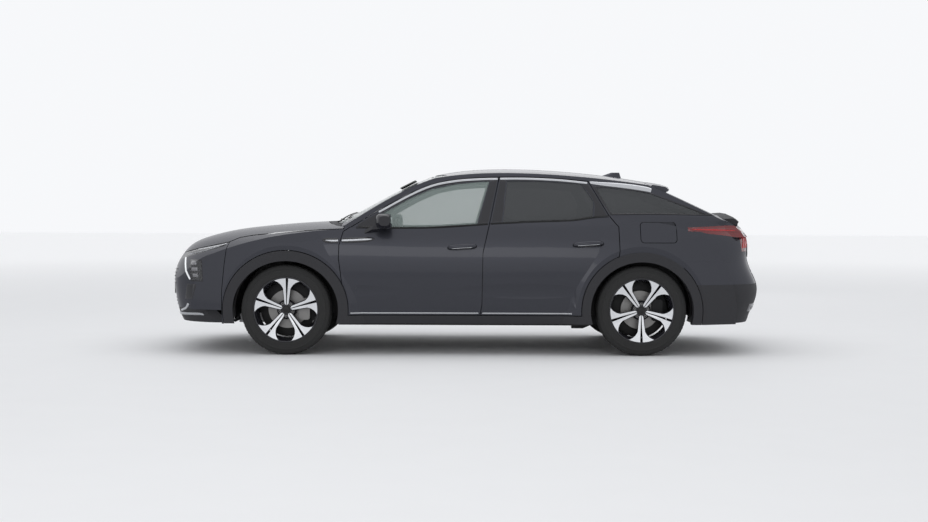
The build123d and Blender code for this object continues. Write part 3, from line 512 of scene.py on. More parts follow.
# The car's finishes. tone, weave and grain give each shared effect its values.
FINISHES = {
    "paint": dict(
        roughness=0.36, metallic=0.82, grain=(1400.0, 0.05, None, None, 0.0002), Coat_Weight=0.42,
        Coat_Roughness=0.06, Specular_Tint=(0.42, 0.42, 0.45, 1),
    ),
    "black_trim": dict(
        color=(0.0065, 0.0065, 0.0075), roughness=0.68, grain=(900.0, 0.3, 0.58, 0.76),
        Specular_IOR_Level=0.14,
    ),
    "gloss_black": dict(
        color=(0.005, 0.005, 0.006), roughness=0.16,
        tone=((0.004, 0.004, 0.005), (0.008, 0.008, 0.009), 60.0), Coat_Weight=0.25,
        Coat_Roughness=0.05,
    ),
    "satin_black": dict(
        color=(0.009, 0.009, 0.0095), roughness=0.42, grain=(600.0, 0.12, 0.36, 0.5),
        Specular_IOR_Level=0.35,
    ),
    "chrome": dict(
        color=(0.5, 0.51, 0.53), roughness=0.2, metallic=1.0, grain=(260.0, 0.03, 0.16, 0.26),
    ),
    "clear_glass": dict(
        color=(0.8, 0.88, 0.85), roughness=0.0, tone=((0.78, 0.87, 0.84), (0.82, 0.89, 0.86), 3.0),
        Transmission_Weight=1.0, IOR=1.45,
    ),
    "privacy_glass": dict(
        color=(0.1, 0.11, 0.115), roughness=0.01, tone=((0.09, 0.1, 0.105), (0.115, 0.125, 0.13), 3.0),
        Transmission_Weight=0.9, IOR=1.45,
    ),
    "lens": dict(
        color=(0.93, 0.95, 0.96), roughness=0.02, grain=(40.0, 0.03, None, None, 0.0005),
        Transmission_Weight=1.0, IOR=1.4,
    ),
    "red_lens": dict(
        color=(0.2, 0.006, 0.009), roughness=0.1,
        tone=((0.16, 0.004, 0.007), (0.24, 0.008, 0.012), 40.0), Transmission_Weight=0.3,
        Coat_Weight=0.5,
    ),
    "blade": dict(
        color=(0.92, 0.93, 0.95), roughness=0.25, tone=((0.88, 0.9, 0.92), (0.95, 0.96, 0.97), 200.0),
        Emission_Color=(0.9, 0.94, 1, 1), Emission_Strength=0.15,
    ),
    "rubber": dict(
        color=(0.006, 0.006, 0.0065), roughness=0.75, grain=(500.0, 0.2, 0.65, 0.85),
        Specular_IOR_Level=0.3,
    ),
    "tyre": dict(
        color=(0.005, 0.005, 0.006), roughness=0.78,
        tone=((0.0045, 0.0045, 0.0052), (0.0095, 0.0095, 0.0102), 14.0),
        grain=(320.0, 0.25, 0.62, 0.85), Specular_IOR_Level=0.08,
    ),
    "alloy": dict(
        color=(0.72, 0.73, 0.75), roughness=0.24, metallic=1.0, grain=(700.0, 0.08, 0.2, 0.32),
    ),
    "iron": dict(
        color=(0.25, 0.245, 0.24), roughness=0.42, metallic=0.9, grain=(420.0, 0.2, 0.34, 0.5),
    ),
    "steel_black": dict(
        color=(0.012, 0.012, 0.0125), roughness=0.55, metallic=0.2, grain=(220.0, 0.25, 0.42, 0.62),
        Specular_IOR_Level=0.35,
    ),
    "cast_alloy": dict(
        color=(0.3, 0.3, 0.31), roughness=0.5, metallic=0.8, grain=(160.0, 0.4, 0.42, 0.6),
    ),
    "soft_black": dict(color=(0.03, 0.03, 0.032), roughness=0.62, grain=(1100.0, 0.4, 0.55, 0.7)),
    "leather": dict(
        color=(0.035, 0.034, 0.035), roughness=0.48,
        tone=((0.028, 0.027, 0.028), (0.045, 0.043, 0.044), 35.0), grain=(850.0, 0.45, 0.42, 0.56),
    ),
    "cloth": dict(
        color=(0.06, 0.06, 0.064), roughness=0.85,
        weave=((0.035, 0.035, 0.038), (0.085, 0.085, 0.09), 160.0, 0.5), Sheen_Weight=0.3,
    ),
    "carpet": dict(
        color=(0.025, 0.025, 0.026), roughness=0.95,
        tone=((0.018, 0.018, 0.019), (0.04, 0.04, 0.042), 220.0), grain=(900.0, 0.9, None, None, 0.001),
        Sheen_Weight=0.4,
    ),
    "headlining": dict(
        color=(0.3, 0.3, 0.29), roughness=0.9,
        weave=((0.25, 0.25, 0.24), (0.34, 0.34, 0.33), 220.0, 0.3),
    ),
    "floor": dict(
        color=(0.84, 0.845, 0.855), roughness=0.8,
        tone=((0.83, 0.835, 0.845), (0.85, 0.855, 0.865), 3.0), grain=(60.0, 0.1, None, None, 0.002),
        Emission_Strength=1.0,
    ),
    "chrome_dark": dict(
        color=(0.22, 0.22, 0.23), roughness=0.2, metallic=1.0, grain=(300.0, 0.04, 0.16, 0.26),
    ),
    "satin_alloy": dict(
        color=(0.42, 0.43, 0.45), roughness=0.34, metallic=1.0, grain=(500.0, 0.08, 0.3, 0.42),
    ),
    "machined": dict(
        color=(0.74, 0.75, 0.77), roughness=0.22, metallic=1.0, grain=(900.0, 0.06, 0.18, 0.3),
    ),
    "red_glow": dict(
        color=(0.4, 0.014, 0.018), roughness=0.3,
        tone=((0.36, 0.012, 0.015), (0.46, 0.018, 0.022), 120.0), Emission_Color=(1.0, 0.05, 0.05, 1),
        Emission_Strength=0.06,
    ),
    "screen": dict(
        color=(0.01, 0.012, 0.015), roughness=0.08,
        tone=((0.008, 0.009, 0.012), (0.014, 0.017, 0.022), 12.0), Coat_Weight=0.5,
    ),
    "plate": dict(
        color=(0.78, 0.78, 0.77), roughness=0.35, tone=((0.74, 0.74, 0.73), (0.81, 0.81, 0.8), 25.0),
    ),
    "mirror": dict(
        color=(0.9, 0.91, 0.92), roughness=0.02, metallic=1.0,
        tone=((0.88, 0.89, 0.9), (0.92, 0.93, 0.94), 8.0),
    ),
}


def fade_to_backdrop(material):
    """Far from the car, the floor brightens for the camera until it meets the backdrop."""
    tree = material.node_tree
    where = node(tree, "ShaderNodeTexCoord")
    far = node(tree, "ShaderNodeVectorMath", {0: where.outputs["Object"]}, operation="LENGTH")
    rise = node(
        tree, "ShaderNodeMapRange",
        {"Value": far.outputs["Value"], "From Min": 3.0, "From Max": 22.0, "To Max": 0.22},
    )
    path = node(tree, "ShaderNodeLightPath")
    seen = node(
        tree, "ShaderNodeMath", {0: rise.outputs["Result"], 1: path.outputs["Is Camera Ray"]},
        operation="MULTIPLY",
    )
    tree.links.new(seen.outputs[0], tree.nodes["Principled BSDF"].inputs["Emission Color"])


def shader(name, color, roughness, metallic=0.0, tone=None, weave=None, grain=None, **sockets):
    """A material with one Principled shader whose constant values sit on its own sockets."""
    material = bpy.data.materials.new(name)
    material.use_nodes = True
    bsdf = material.node_tree.nodes["Principled BSDF"]
    bsdf.inputs["Base Color"].default_value = (*color, 1.0)
    bsdf.inputs["Roughness"].default_value = roughness
    bsdf.inputs["Metallic"].default_value = metallic
    for key, value in sockets.items():
        bsdf.inputs[key.replace("_", " ")].default_value = value
    for values, give in ((tone, with_tone), (weave, with_weave), (grain, with_grain)):
        if values:
            give(material, *values)
    return material


def m(name):
    """One of the car's materials, made when first asked for."""
    if name in bpy.data.materials:
        return bpy.data.materials[name]
    values = dict(FINISHES[name])
    if name == "paint":
        color = tuple(bpy.context.scene.crossover_finish.paint)
        dark, light = [c * 0.9 for c in color], [c * 1.12 for c in color]
        values.update(color=color, tone=(dark, light, 900.0))
    made = shader(name, **values)
    if name == "floor":
        fade_to_backdrop(made)
    return made


def dress(name, *materials, choose=None):
    """Gives a CAD node its materials. choose(centre, normal) picks one for each face."""
    obj = NODES[name]
    obj.data.materials.clear()
    for material in materials:
        obj.data.materials.append(m(material))
    if choose:
        for polygon in obj.data.polygons:
            polygon.material_index = choose(polygon.center, polygon.normal)


class CrossoverFinish(bpy.types.PropertyGroup):
    paint: bpy.props.FloatVectorProperty(
        name="Paint", description="Colour of the metallic body paint", subtype="COLOR", size=3,
        default=(0.040, 0.0415, 0.051),
    )
    chrome_lift: bpy.props.FloatProperty(
        name="Strip height", description="How far the bright strips stand off the body", default=0.004,
        unit="LENGTH", min=0.001,
    )


class CrossoverWheels(bpy.types.PropertyGroup):
    tyre_radius: bpy.props.FloatProperty(
        name="Tyre radius", description="Outer radius of the tyre tread", default=0.354, unit="LENGTH",
        min=0.2,
    )
    groove_depth: bpy.props.FloatProperty(
        name="Groove depth", description="Depth of the tread grooves", default=0.007, unit="LENGTH",
        min=0.001,
    )
    sipes: bpy.props.IntProperty(
        name="Tread blocks", description="Number of tread blocks around the tyre", default=72, min=24,
        max=120,
    )
    bolts: bpy.props.IntProperty(
        name="Wheel bolts", description="Number of bolts in each wheel", default=5, min=3, max=6,
    )
    spokes: bpy.props.IntProperty(
        name="Twin spokes", description="Number of twin spokes", default=5, min=3, max=8,
    )
    front_turn: bpy.props.FloatProperty(
        name="Front turn", description="Angle in degrees at which a front rim's first spoke stands",
        default=88.0,
    )
    rear_turn: bpy.props.FloatProperty(
        name="Rear turn", description="Angle in degrees at which a rear rim's first spoke stands",
        default=54.0,
    )


class CrossoverCabin(bpy.types.PropertyGroup):
    seat_width: bpy.props.FloatProperty(
        name="Seat width", description="Width of a front seat", default=0.5, unit="LENGTH", min=0.3
    )
    bolster: bpy.props.FloatProperty(
        name="Bolster", description="How far the side bolsters of the seats rise", default=0.035,
        unit="LENGTH", min=0.0,
    )
    seam: bpy.props.FloatProperty(
        name="Seam depth", description="Depth of the sewn seams", default=0.006, unit="LENGTH", min=0.0
    )


class CrossoverStage(bpy.types.PropertyGroup):
    focal: bpy.props.FloatProperty(
        name="Focal length", description="Camera focal length in millimetres", default=51.5, min=10,
    )
    camera_height: bpy.props.FloatProperty(
        name="Camera height", description="Height of the camera over the ground", default=1.112,
        unit="LENGTH",
    )
    camera_distance: bpy.props.FloatProperty(
        name="Camera distance", description="Distance of the camera from the car's middle plane",
        default=11.26, unit="LENGTH", min=1,
    )
    softbox_power: bpy.props.FloatProperty(
        name="Softbox power", description="Power of the overhead softbox", default=80.0, unit="POWER",
        min=0,
    )


FRONT_TOP = [
    (-0.872, 1.020), (-0.696, 1.130), (-0.454, 1.264), (-0.271, 1.343), (-0.085, 1.381), (0.100, 1.396),
    (0.256, 1.400),
]
REAR_TOP = [(0.270, 1.401), (0.480, 1.402), (0.740, 1.391), (0.966, 1.369)]

PLAIN_NODES = {
    "satin_black": ("floor_pan", "wheel_tubs",),
    "black_trim": ("cowl_panel", "deck_spoiler", "arch_and_sill_trim", "bumper_valances",),
    "clear_glass": ("windscreen",),
    "privacy_glass": ("quarter_glass", "tailgate_glass",),
    "gloss_black": ("grille", "headlamps",),
    "red_lens": ("tail_lamps",),
    "cast_alloy": ("engine_block",),
    "steel_black": ("front_suspension", "rear_axle",),
    "soft_black": ("dashboard",),
}


def inset(path, distance):
    """A line of (station, height) moved down square to itself."""
    out = []
    for i, (x, z) in enumerate(path):
        a = path[max(i - 1, 0)]
        b = path[min(i + 1, len(path) - 1)]
        dx, dz = b[0] - a[0], b[1] - a[1]
        length = math.hypot(dx, dz)
        out.append((x + dz / length * distance, z - dx / length * distance))
    return out


class CROSSOVER_OT_body(bpy.types.Operator):
    """Gives the painted panels, panes, cladding and running gear their finishes"""

    bl_idname = "crossover.body"
    bl_label = "Body Finishes"

    def execute(self, context):
        painted = [
            "front_fenders", "front_bumper", "rear_bumper", "roof_panel", "bonnet", "tailgate",
            "fuel_flap",
        ]
        for side, sign in SIDES:
            painted.append(f"body_side_{side}")
            dress(f"front_door_glass_{side}", "clear_glass")
            dress(f"rear_door_glass_{side}", "privacy_glass")
            dress(f"door_mirror_{side}", "gloss_black")
            dress(f"steering_knuckle_{side}", "iron")
            for door in (f"front_door_{side}", f"rear_door_{side}"):
                inward = lambda c, n, s=sign: 1 if n.y * s < -0.35 else 0
                dress(door, "paint", "soft_black", choose=inward)
        for name in painted:
            dress(name, "paint")
        under_roof = lambda c, n: 1 if n.z < -0.3 and c.z < 1.46 else 0
        dress("roof_panel", "paint", "headlining", choose=under_roof)
        under_tailgate = lambda c, n: 1 if n.z < -0.2 and c.x < 2.25 else 0
        dress("tailgate", "paint", "soft_black", choose=under_tailgate)
        for finish, names in PLAIN_NODES.items():
            for name in names:
                dress(name, finish)
        for side, sign in SIDES:
            self.splash_guard(f"splash_guard_front_{side}", sign, AXLES["front"], -1, 0.60)
            self.splash_guard(f"splash_guard_rear_{side}", sign, AXLES["rear"], 1, 0.56)
        return {"FINISHED"}

    def splash_guard(self, name, sign, axle, way, reach):
        """The black end of a wheel house, from the arch's foot to the underside of the bumper."""
        rows = []
        for k in range(12):
            angle = math.radians(24 - 38 * k / 11)
            x = axle + way * GUARD_RADIUS * math.cos(angle)
            z = HUB_Z + GUARD_RADIUS * math.sin(angle)
            rows.append([Vector((x, sign * y, z)) for y in (0.58, 0.67, 0.76, 0.845)])
        for k in range(1, 5):
            x = axle + way * (GUARD_RADIUS * math.cos(angle) + (reach - 0.40) * k / 4)
            rows.append(
                [Vector((x, sign * y, z + 0.004 * k)) for y in (0.58, 0.67, 0.72, 0.77 - 0.01 * k)],
            )
        sheet_piece(name, rows, "satin_black", "body", ends=False)
        rows = []
        for k in range(6):
            x = axle + way * (0.418 + (reach - 0.42) * k / 5)
            rows.append(
                [Vector((x, sign * (0.80 - 0.012 * k), HUB_Z + h)) for h in (-0.09, -0.03, 0.03, 0.09)],
            )
        sheet_piece(name + "_cheek", rows, "satin_black", "body", ends=False)


QUARTER_TOP = [
    (0.985, 1.362), (1.08, 1.352), (1.2, 1.342), (1.32, 1.329), (1.43, 1.312), (1.475, 1.300),
]
FENDER_BLADE = ((-1.123, 0.905), (-1.10, 0.899), (-1.05, 0.895), (-0.999, 0.896))
DOOR_BLADE_BED = ((-0.983, 0.897), (-0.9, 0.899), (-0.8, 0.904), (-0.715, 0.911))
DOOR_BLADE = ((-0.983, 0.897), (-0.9, 0.9), (-0.8, 0.905), (-0.735, 0.909))


def tapered(tip, rise, rate, back=False):
    """A half width that grows from one end of a strip until it is full."""
    return lambda t: tip + rise * min(1, rate * (1.02 - t if back else t))


class CROSSOVER_OT_brightwork(bpy.types.Operator):
    """Lays the bright strips along the roof line and the flank blades, and satin alloy strips along the
    sills that stand for a painted highlight
    """

    bl_idname = "crossover.brightwork"
    bl_label = "Bright Strips"

    def execute(self, context):
        lift = context.scene.crossover_finish.chrome_lift
        swell = lambda t: 0.009 + 0.011 * math.sin(math.pi * min(t * 0.75, 0.95))
        for side, sign in SIDES:
            front, rear = f"front_door_{side}", f"rear_door_{side}"
            on_front, on_rear = side_of(sign, front), side_of(sign, rear)
            on_body = side_of(sign, f"body_side_{side}", "tailgate")
            on_fender = side_of(sign, "front_fenders")
            front_line, rear_line = inset(FRONT_TOP[1:], 0.012), inset(REAR_TOP, 0.012)
            # The sill strips are satin alloy lines that stand for the painted highlight along the dark sill.
            front_sill_highlight, rear_sill_highlight = [(-0.90, 0.331), (0.10, 0.331)], [(0.128, 0.331), (0.83, 0.331)]
            bed, blade = (0.004, 0.017), (0.002, 0.0055)
            ribbons(side, (
                ("roof_strip_front", on_front, front, "chrome", lift, 90, 0.008, front_line),
                ("roof_strip_rear", on_rear, rear, "chrome", lift, 50, 0.008, rear_line),
                ("roof_strip_quarter", on_body, "body", "chrome", lift, 50, swell, QUARTER_TOP),
                (
                    "flank_blade_bed_fender", on_fender, "body", "gloss_black", 0.003, 24,
                    tapered(*bed, 2.5), FENDER_BLADE,
                ),
                (
                    "flank_blade_fender", on_fender, "body", "chrome", 0.006, 24, tapered(*blade, 2.2),
                    FENDER_BLADE[1:],
                ),
                (
                    "flank_blade_bed_door", on_front, front, "gloss_black", 0.003, 30,
                    tapered(*bed, 4, True), DOOR_BLADE_BED,
                ),
                (
                    "flank_blade_door", on_front, front, "chrome", 0.006, 30, tapered(*blade, 5, True),
                    DOOR_BLADE,
                ),
                ("sill_strip_front", on_front, front, "satin_alloy", 0.003, 60, 0.006, front_sill_highlight),
                ("sill_strip_rear", on_rear, rear, "satin_alloy", 0.003, 50, 0.006, rear_sill_highlight),
            ))
        return {"FINISHED"}


FRONT_GLASS_TOP = [
    (-0.668, 1.107), (-0.454, 1.228), (-0.271, 1.308), (-0.085, 1.348), (0.100, 1.366), (0.186, 1.370),
]
FRONT_WAIST = [(-0.862, 0.999), (-0.3, 1.000), (0.181, 1.030)]
REAR_WAIST = [(0.193, 1.032), (0.55, 1.050), (0.82, 1.060), (1.0, 1.084), (1.126, 1.094)]
QUARTER_RING = [
    (1.146, 1.110), (1.034, 1.308), (1.06, 1.325), (1.16, 1.321), (1.3, 1.304), (1.47, 1.274),
]
QUARTER_RING += [(1.70, 1.19), (1.88, 1.122), (1.93, 1.108), (1.5, 1.114), (1.146, 1.110)]
SCREEN_SIDE = [(-0.872, 0.742), (-0.70, 0.70), (-0.454, 0.645), (-0.271, 0.606), (-0.19, 0.592)]
ACROSS = [y / 10 for y in range(-10, 11)]


class CROSSOVER_OT_window_surrounds(bpy.types.Operator):
    """Makes the black window frames, seals, pillar plates and windscreen border"""

    bl_idname = "crossover.window_surrounds"
    bl_label = "Window Surrounds"

    def execute(self, context):
        gloss = "gloss_black"
        on_screen = caster((0, 0, -1), "windscreen")
        for side, sign in SIDES:
            front, rear = f"front_door_{side}", f"rear_door_{side}"
            on_front = side_of(sign, front, f"front_door_glass_{side}")
            on_rear = side_of(sign, rear, f"rear_door_glass_{side}")
            on_body = side_of(sign, f"body_side_{side}", "quarter_glass")
            front_top = inset(FRONT_TOP[1:], 0.003)
            inner = [(x + 0.012, sign * (y - 0.034)) for x, y in SCREEN_SIDE]
            outer = [(x, sign * (y - 0.006)) for x, y in SCREEN_SIDE]
            patches(side, (
                (
                    "frame_front_top", on_front, front, gloss, None, 0.0012, 5, 60, FRONT_GLASS_TOP,
                    front_top,
                ),
                (
                    "sail_panel", on_front, front, gloss, None, 0.0014, 8, 16,
                    [(-0.855, 1.000), (-0.667, 0.999)], [(-0.860, 1.020), (-0.690, 1.125)], True,
                ),
                (
                    "pillar_front", on_front, front, gloss, None, 0.0014, 5, 30,
                    [(0.087, 1.026), (0.186, 1.370)], [(0.181, 1.034), (0.257, 1.396)], True,
                ),
                (
                    "frame_rear_top", on_rear, rear, gloss, None, 0.0012, 5, 50,
                    [(0.327, 1.372), (0.62, 1.371), (0.915, 1.352)],
                    [(0.272, 1.398), (0.62, 1.395), (0.955, 1.366)],
                ),
                (
                    "pillar_rear", on_rear, rear, gloss, None, 0.0014, 5, 30,
                    [(0.192, 1.040), (0.270, 1.398)], [(0.288, 1.041), (0.327, 1.372)], True,
                ),
                (
                    "door_corner", on_rear, rear, gloss, None, 0.0014, 6, 30,
                    [(0.915, 1.350), (1.007, 1.214), (1.002, 1.086)],
                    [(0.962, 1.366), (1.048, 1.228), (1.126, 1.092)],
                ),
                (
                    "quarter_pillar", on_body, "body", gloss, None, 0.0014, 5, 30,
                    [(0.984, 1.360), (1.066, 1.220), (1.141, 1.100)],
                    [(1.040, 1.312), (1.092, 1.212), (1.150, 1.112)],
                ),
                ("screen_border", on_screen, "body", gloss, None, 0.0008, 4, 40, inner, outer),
            ))
            ribbons(side, (
                ("waist_seal_front", on_front, front, "rubber", 0.004, 60, 0.007, FRONT_WAIST),
                ("waist_seal_rear", on_rear, rear, "rubber", 0.004, 60, 0.007, REAR_WAIST),
                ("quarter_seal", on_body, "body", gloss, 0.0025, 160, 0.006, QUARTER_RING),
            ))
        for end, lower, upper in (
            (
                "top", [(-0.275, v * 0.58) for v in ACROSS],
                [(-0.32 + 0.02 * v**2, v * 0.57) for v in ACROSS],
            ),
            (
                "bottom", [(-1.02 + 0.10 * v**2, v * 0.66) for v in ACROSS],
                [(-0.985 + 0.10 * v**2, v * 0.66) for v in ACROSS],
            ),
        ):
            patch(f"screen_border_{end}", on_screen, lower, upper, 0.0008, gloss, "body", 3, 40)
        self.wipers()
        return {"FINISHED"}

    def wipers(self):
        on_screen = caster((0, 0, -1), "windscreen", "cowl_panel", "bonnet")
        for name, pivot, tip, root in (
            ("near", (-1.035, -0.52), (-0.93, 0.10), -0.45),
            ("far", (-1.065, 0.12), (-0.985, 0.60), 0.05),
        ):
            parts = []
            pts = []
            for k in range(9):
                t = k / 8
                x, y = pivot[0] + (tip[0] - pivot[0]) * t, pivot[1] + (tip[1] - pivot[1]) * t
                found = on_screen(x, y)
                if found is None:
                    continue
                pts.append(found[0] + Vector((0, 0, 0.016)))
            if len(pts) > 2:
                parts.append(tube(pts, lambda t: 0.007 - 0.003 * t, 8))
            blade = []
            for k in range(13):
                t = k / 12
                x, y = tip[0] - 0.02 + 0.03 * t, root + (tip[1] + 0.08 - root) * t
                found = on_screen(x, y)
                if found:
                    blade.append(found[0] + Vector((0, 0, 0.007)))
            if len(blade) > 2:
                parts.append(tube(blade, 0.005, 8))
            verts, faces, _ = gather(parts)
            piece(f"wiper_{name}", verts, faces, "satin_black", "body")


class CROSSOVER_OT_lamps(bpy.types.Operator):
    """Fits the light units, light blades and tail bars"""

    bl_idname = "crossover.lamps"
    bl_label = "Lamps"

    def execute(self, context):
        on_tail = caster((-1, 0, 0), "tailgate", "rear_bumper", reach=6)
        for side, sign in SIDES:
            self.front(side, side_of(sign, "headlamps", "front_bumper", "front_fenders", "bonnet"))
            self.rear(side, side_of(sign, "tail_lamps", f"body_side_{side}", "rear_bumper", "tailgate"))
            low = [(sign * 0.535, 0.925), (sign * 0.30, 0.935)]
            high = [(sign * 0.545, 0.965), (sign * 0.30, 0.950)]
            kind = ("tail_bar_inner", on_tail, "tailgate", "red_lens", "lamp_red", 0.003, 4, 20)
            patches(side, [(*kind, low, high, True)])
        return {"FINISHED"}

    def front(self, side, find):
        upper = [(-2.340, 0.768), (-2.25, 0.800), (-2.10, 0.824), (-1.95, 0.852), (-1.895, 0.866)]
        lower = [(-2.340, 0.745), (-2.25, 0.765), (-2.10, 0.796), (-1.95, 0.838), (-1.895, 0.856)]
        line = [(x, z + 0.004) for x, z in lower[1:4]], [(x, z + 0.011) for x, z in lower[1:4]]
        cheek = [(-2.172, 0.574), (-2.065, 0.574)], [(-2.192, 0.736), (-2.082, 0.736)]
        intake = [(-2.235, 0.420), (-2.150, 0.420)], [(-2.210, 0.555), (-2.110, 0.555)]
        rows = [
            ("headlamp_lens", find, "body", "lens", "lamp_clear", 0.004, 5, 50, lower, upper),
            ("headlamp_light_line", find, "body", "satin_alloy", None, 0.0025, 3, 30, *line),
            ("lamp_cheek", find, "body", "lens", "lamp_clear", 0.002, 8, 12, *cheek, True),
            ("side_intake", find, "body", "gloss_black", None, 0.0015, 8, 14, *intake, True),
        ]
        for k in range(3):
            x, z = -2.155 - 0.010 * k, 0.60 + 0.048 * k
            module = [(x, z), (x + 0.055, z)], [(x - 0.006, z + 0.036), (x + 0.05, z + 0.036)]
            rows.append(
                (f"lamp_module_{k}", find, "body", "chrome_dark", None, 0.005, 4, 8, *module, True),
            )
        patches(side, rows)
        blade = [(-2.262, 0.748), (-2.226, 0.668), (-2.178, 0.585)]
        ribbons(side, (
            ("headlamp_rim", find, "body", "chrome", 0.004, 50, 0.004, upper),
            ("light_blade", find, "body", "blade", 0.006, 30, lambda t: 0.008 - 0.002 * t, blade),
        ))

    def rear(self, side, find):
        line = [(1.745, 1.001), (1.90, 0.998), (2.06, 0.996), (2.20, 0.992), (2.275, 0.985)]
        edges = [(x, z - 0.026) for x, z in line], [(x, z + 0.008) for x, z in line]
        patches(side, [("tail_lens_upper", find, "body", "red_lens", "lamp_red", 0.003, 5, 50, *edges)])
        glow = lambda t: 0.002 + 0.003 * math.sin(math.pi * t)
        rows = [
            (
                "tail_light_line", find, "body", "red_glow", 0.005, 40, glow,
                [(1.78, 0.992), (1.95, 0.988), (2.14, 0.983)],
            )
        ]
        for k in range(3):
            x = 2.215 + 0.024 * k
            claw = [(x, 0.935), (x + 0.004, 0.90), (x - 0.006, 0.845)]
            rows.append((f"tail_light_claw_{k}", find, "body", "red_glow", 0.004, 20, 0.005, claw))
        ribbons(side, rows)


def number_plate(name, find, z, body, outward):
    """A blank number plate, 520 by 110 mm."""
    hit = find(0.0, z)[0]
    soft_box(name, (0.004, 0.52, 0.11), (hit.x + outward * 0.012, 0, z), 0.08, 6, "plate", body)


class CROSSOVER_OT_front_end(bpy.types.Operator):
    """Builds the grille slats, intakes, skid edge and the blank front plate"""

    bl_idname = "crossover.front_end"
    bl_label = "Front End"

    def execute(self, context):
        find = caster(
            (1, 0, 0), "grille", "front_bumper", "bumper_valances", "bonnet", "headlamps", reach=4,
        )
        for k, z in enumerate((0.655, 0.628, 0.601, 0.574, 0.547)):
            half = 0.50 + 0.02 * k
            path = [(half * (t / 10), z - 0.012 * (1 - abs(t / 10))) for t in range(-10, 11)]
            ribbon(
                f"grille_slat_{k}", find, path, 0.0045, 0.005,
                "chrome_dark" if k % 2 else "gloss_black", "body", 80,
            )
        for k, z in enumerate((0.42, 0.395, 0.37)):
            path = [(0.40 * (t / 10), z) for t in range(-10, 11)]
            ribbon(f"intake_slat_{k}", find, path, 0.006, 0.008, "satin_black", "body", 60)
        patch(
            "front_plate_bed", find, [(-0.275, 0.435), (0.275, 0.435)],
            [(-0.275, 0.555), (0.275, 0.555)], 0.006, "satin_black", "body", 8, 30, straight=True,
        )
        number_plate("front_plate", find, 0.497, "body", -1)
        lip = [(0.80 * (t / 12), 0.292 + 0.02 * (abs(t) / 12) ** 2) for t in range(-12, 13)]
        ribbon("front_skid_edge", find, lip, 0.010, 0.006, "satin_alloy", "body", 100)
        for side, sign in SIDES:
            path = [(sign * 0.62, 0.33), (sign * 0.70, 0.352), (sign * 0.74, 0.39)]
            ribbon(f"front_corner_blade_{side}", find, path, 0.008, 0.006, "chrome", "body", 24)
        return {"FINISHED"}


class CROSSOVER_OT_rear_end(bpy.types.Operator):
    """Builds the blank rear plate, its recess, the exhaust trims and the high brake light"""

    bl_idname = "crossover.rear_end"
    bl_label = "Rear End"

    def execute(self, context):
        find = caster((-1, 0, 0), "tailgate", "rear_bumper", "bumper_valances", reach=6)
        patch(
            "rear_plate_recess", find, [(-0.30, 0.745), (0.30, 0.745)], [(-0.30, 0.885), (0.30, 0.885)],
            0.002, "satin_black", "tailgate", 8, 30, straight=True,
        )
        number_plate("rear_plate", find, 0.815, "tailgate", 1)
        for side, sign in SIDES:
            patch(
                f"exhaust_trim_{side}", find, [(sign * 0.42, 0.330), (sign * 0.66, 0.335)],
                [(sign * 0.40, 0.395), (sign * 0.68, 0.400)], 0.006, "chrome_dark", "body", 6, 24,
                straight=True,
            )
            patch(
                f"exhaust_slot_{side}", find, [(sign * 0.45, 0.345), (sign * 0.63, 0.349)],
                [(sign * 0.44, 0.38), (sign * 0.645, 0.385)], 0.0075, "gloss_black", "body", 5, 20,
                straight=True,
            )
        ribbon(
            "rear_skid_edge", find, [(0.36 * (t / 10), 0.335) for t in range(-10, 11)], 0.012, 0.006,
            "satin_alloy", "body", 60,
        )
        on_top = caster((0, 0, -1), "deck_spoiler")
        ribbon(
            "high_brake_light", on_top, [(2.213, 0.16 * (t / 8)) for t in range(-8, 9)], 0.005, 0.002,
            "red_lens", "tailgate", 40,
        )
        return {"FINISHED"}


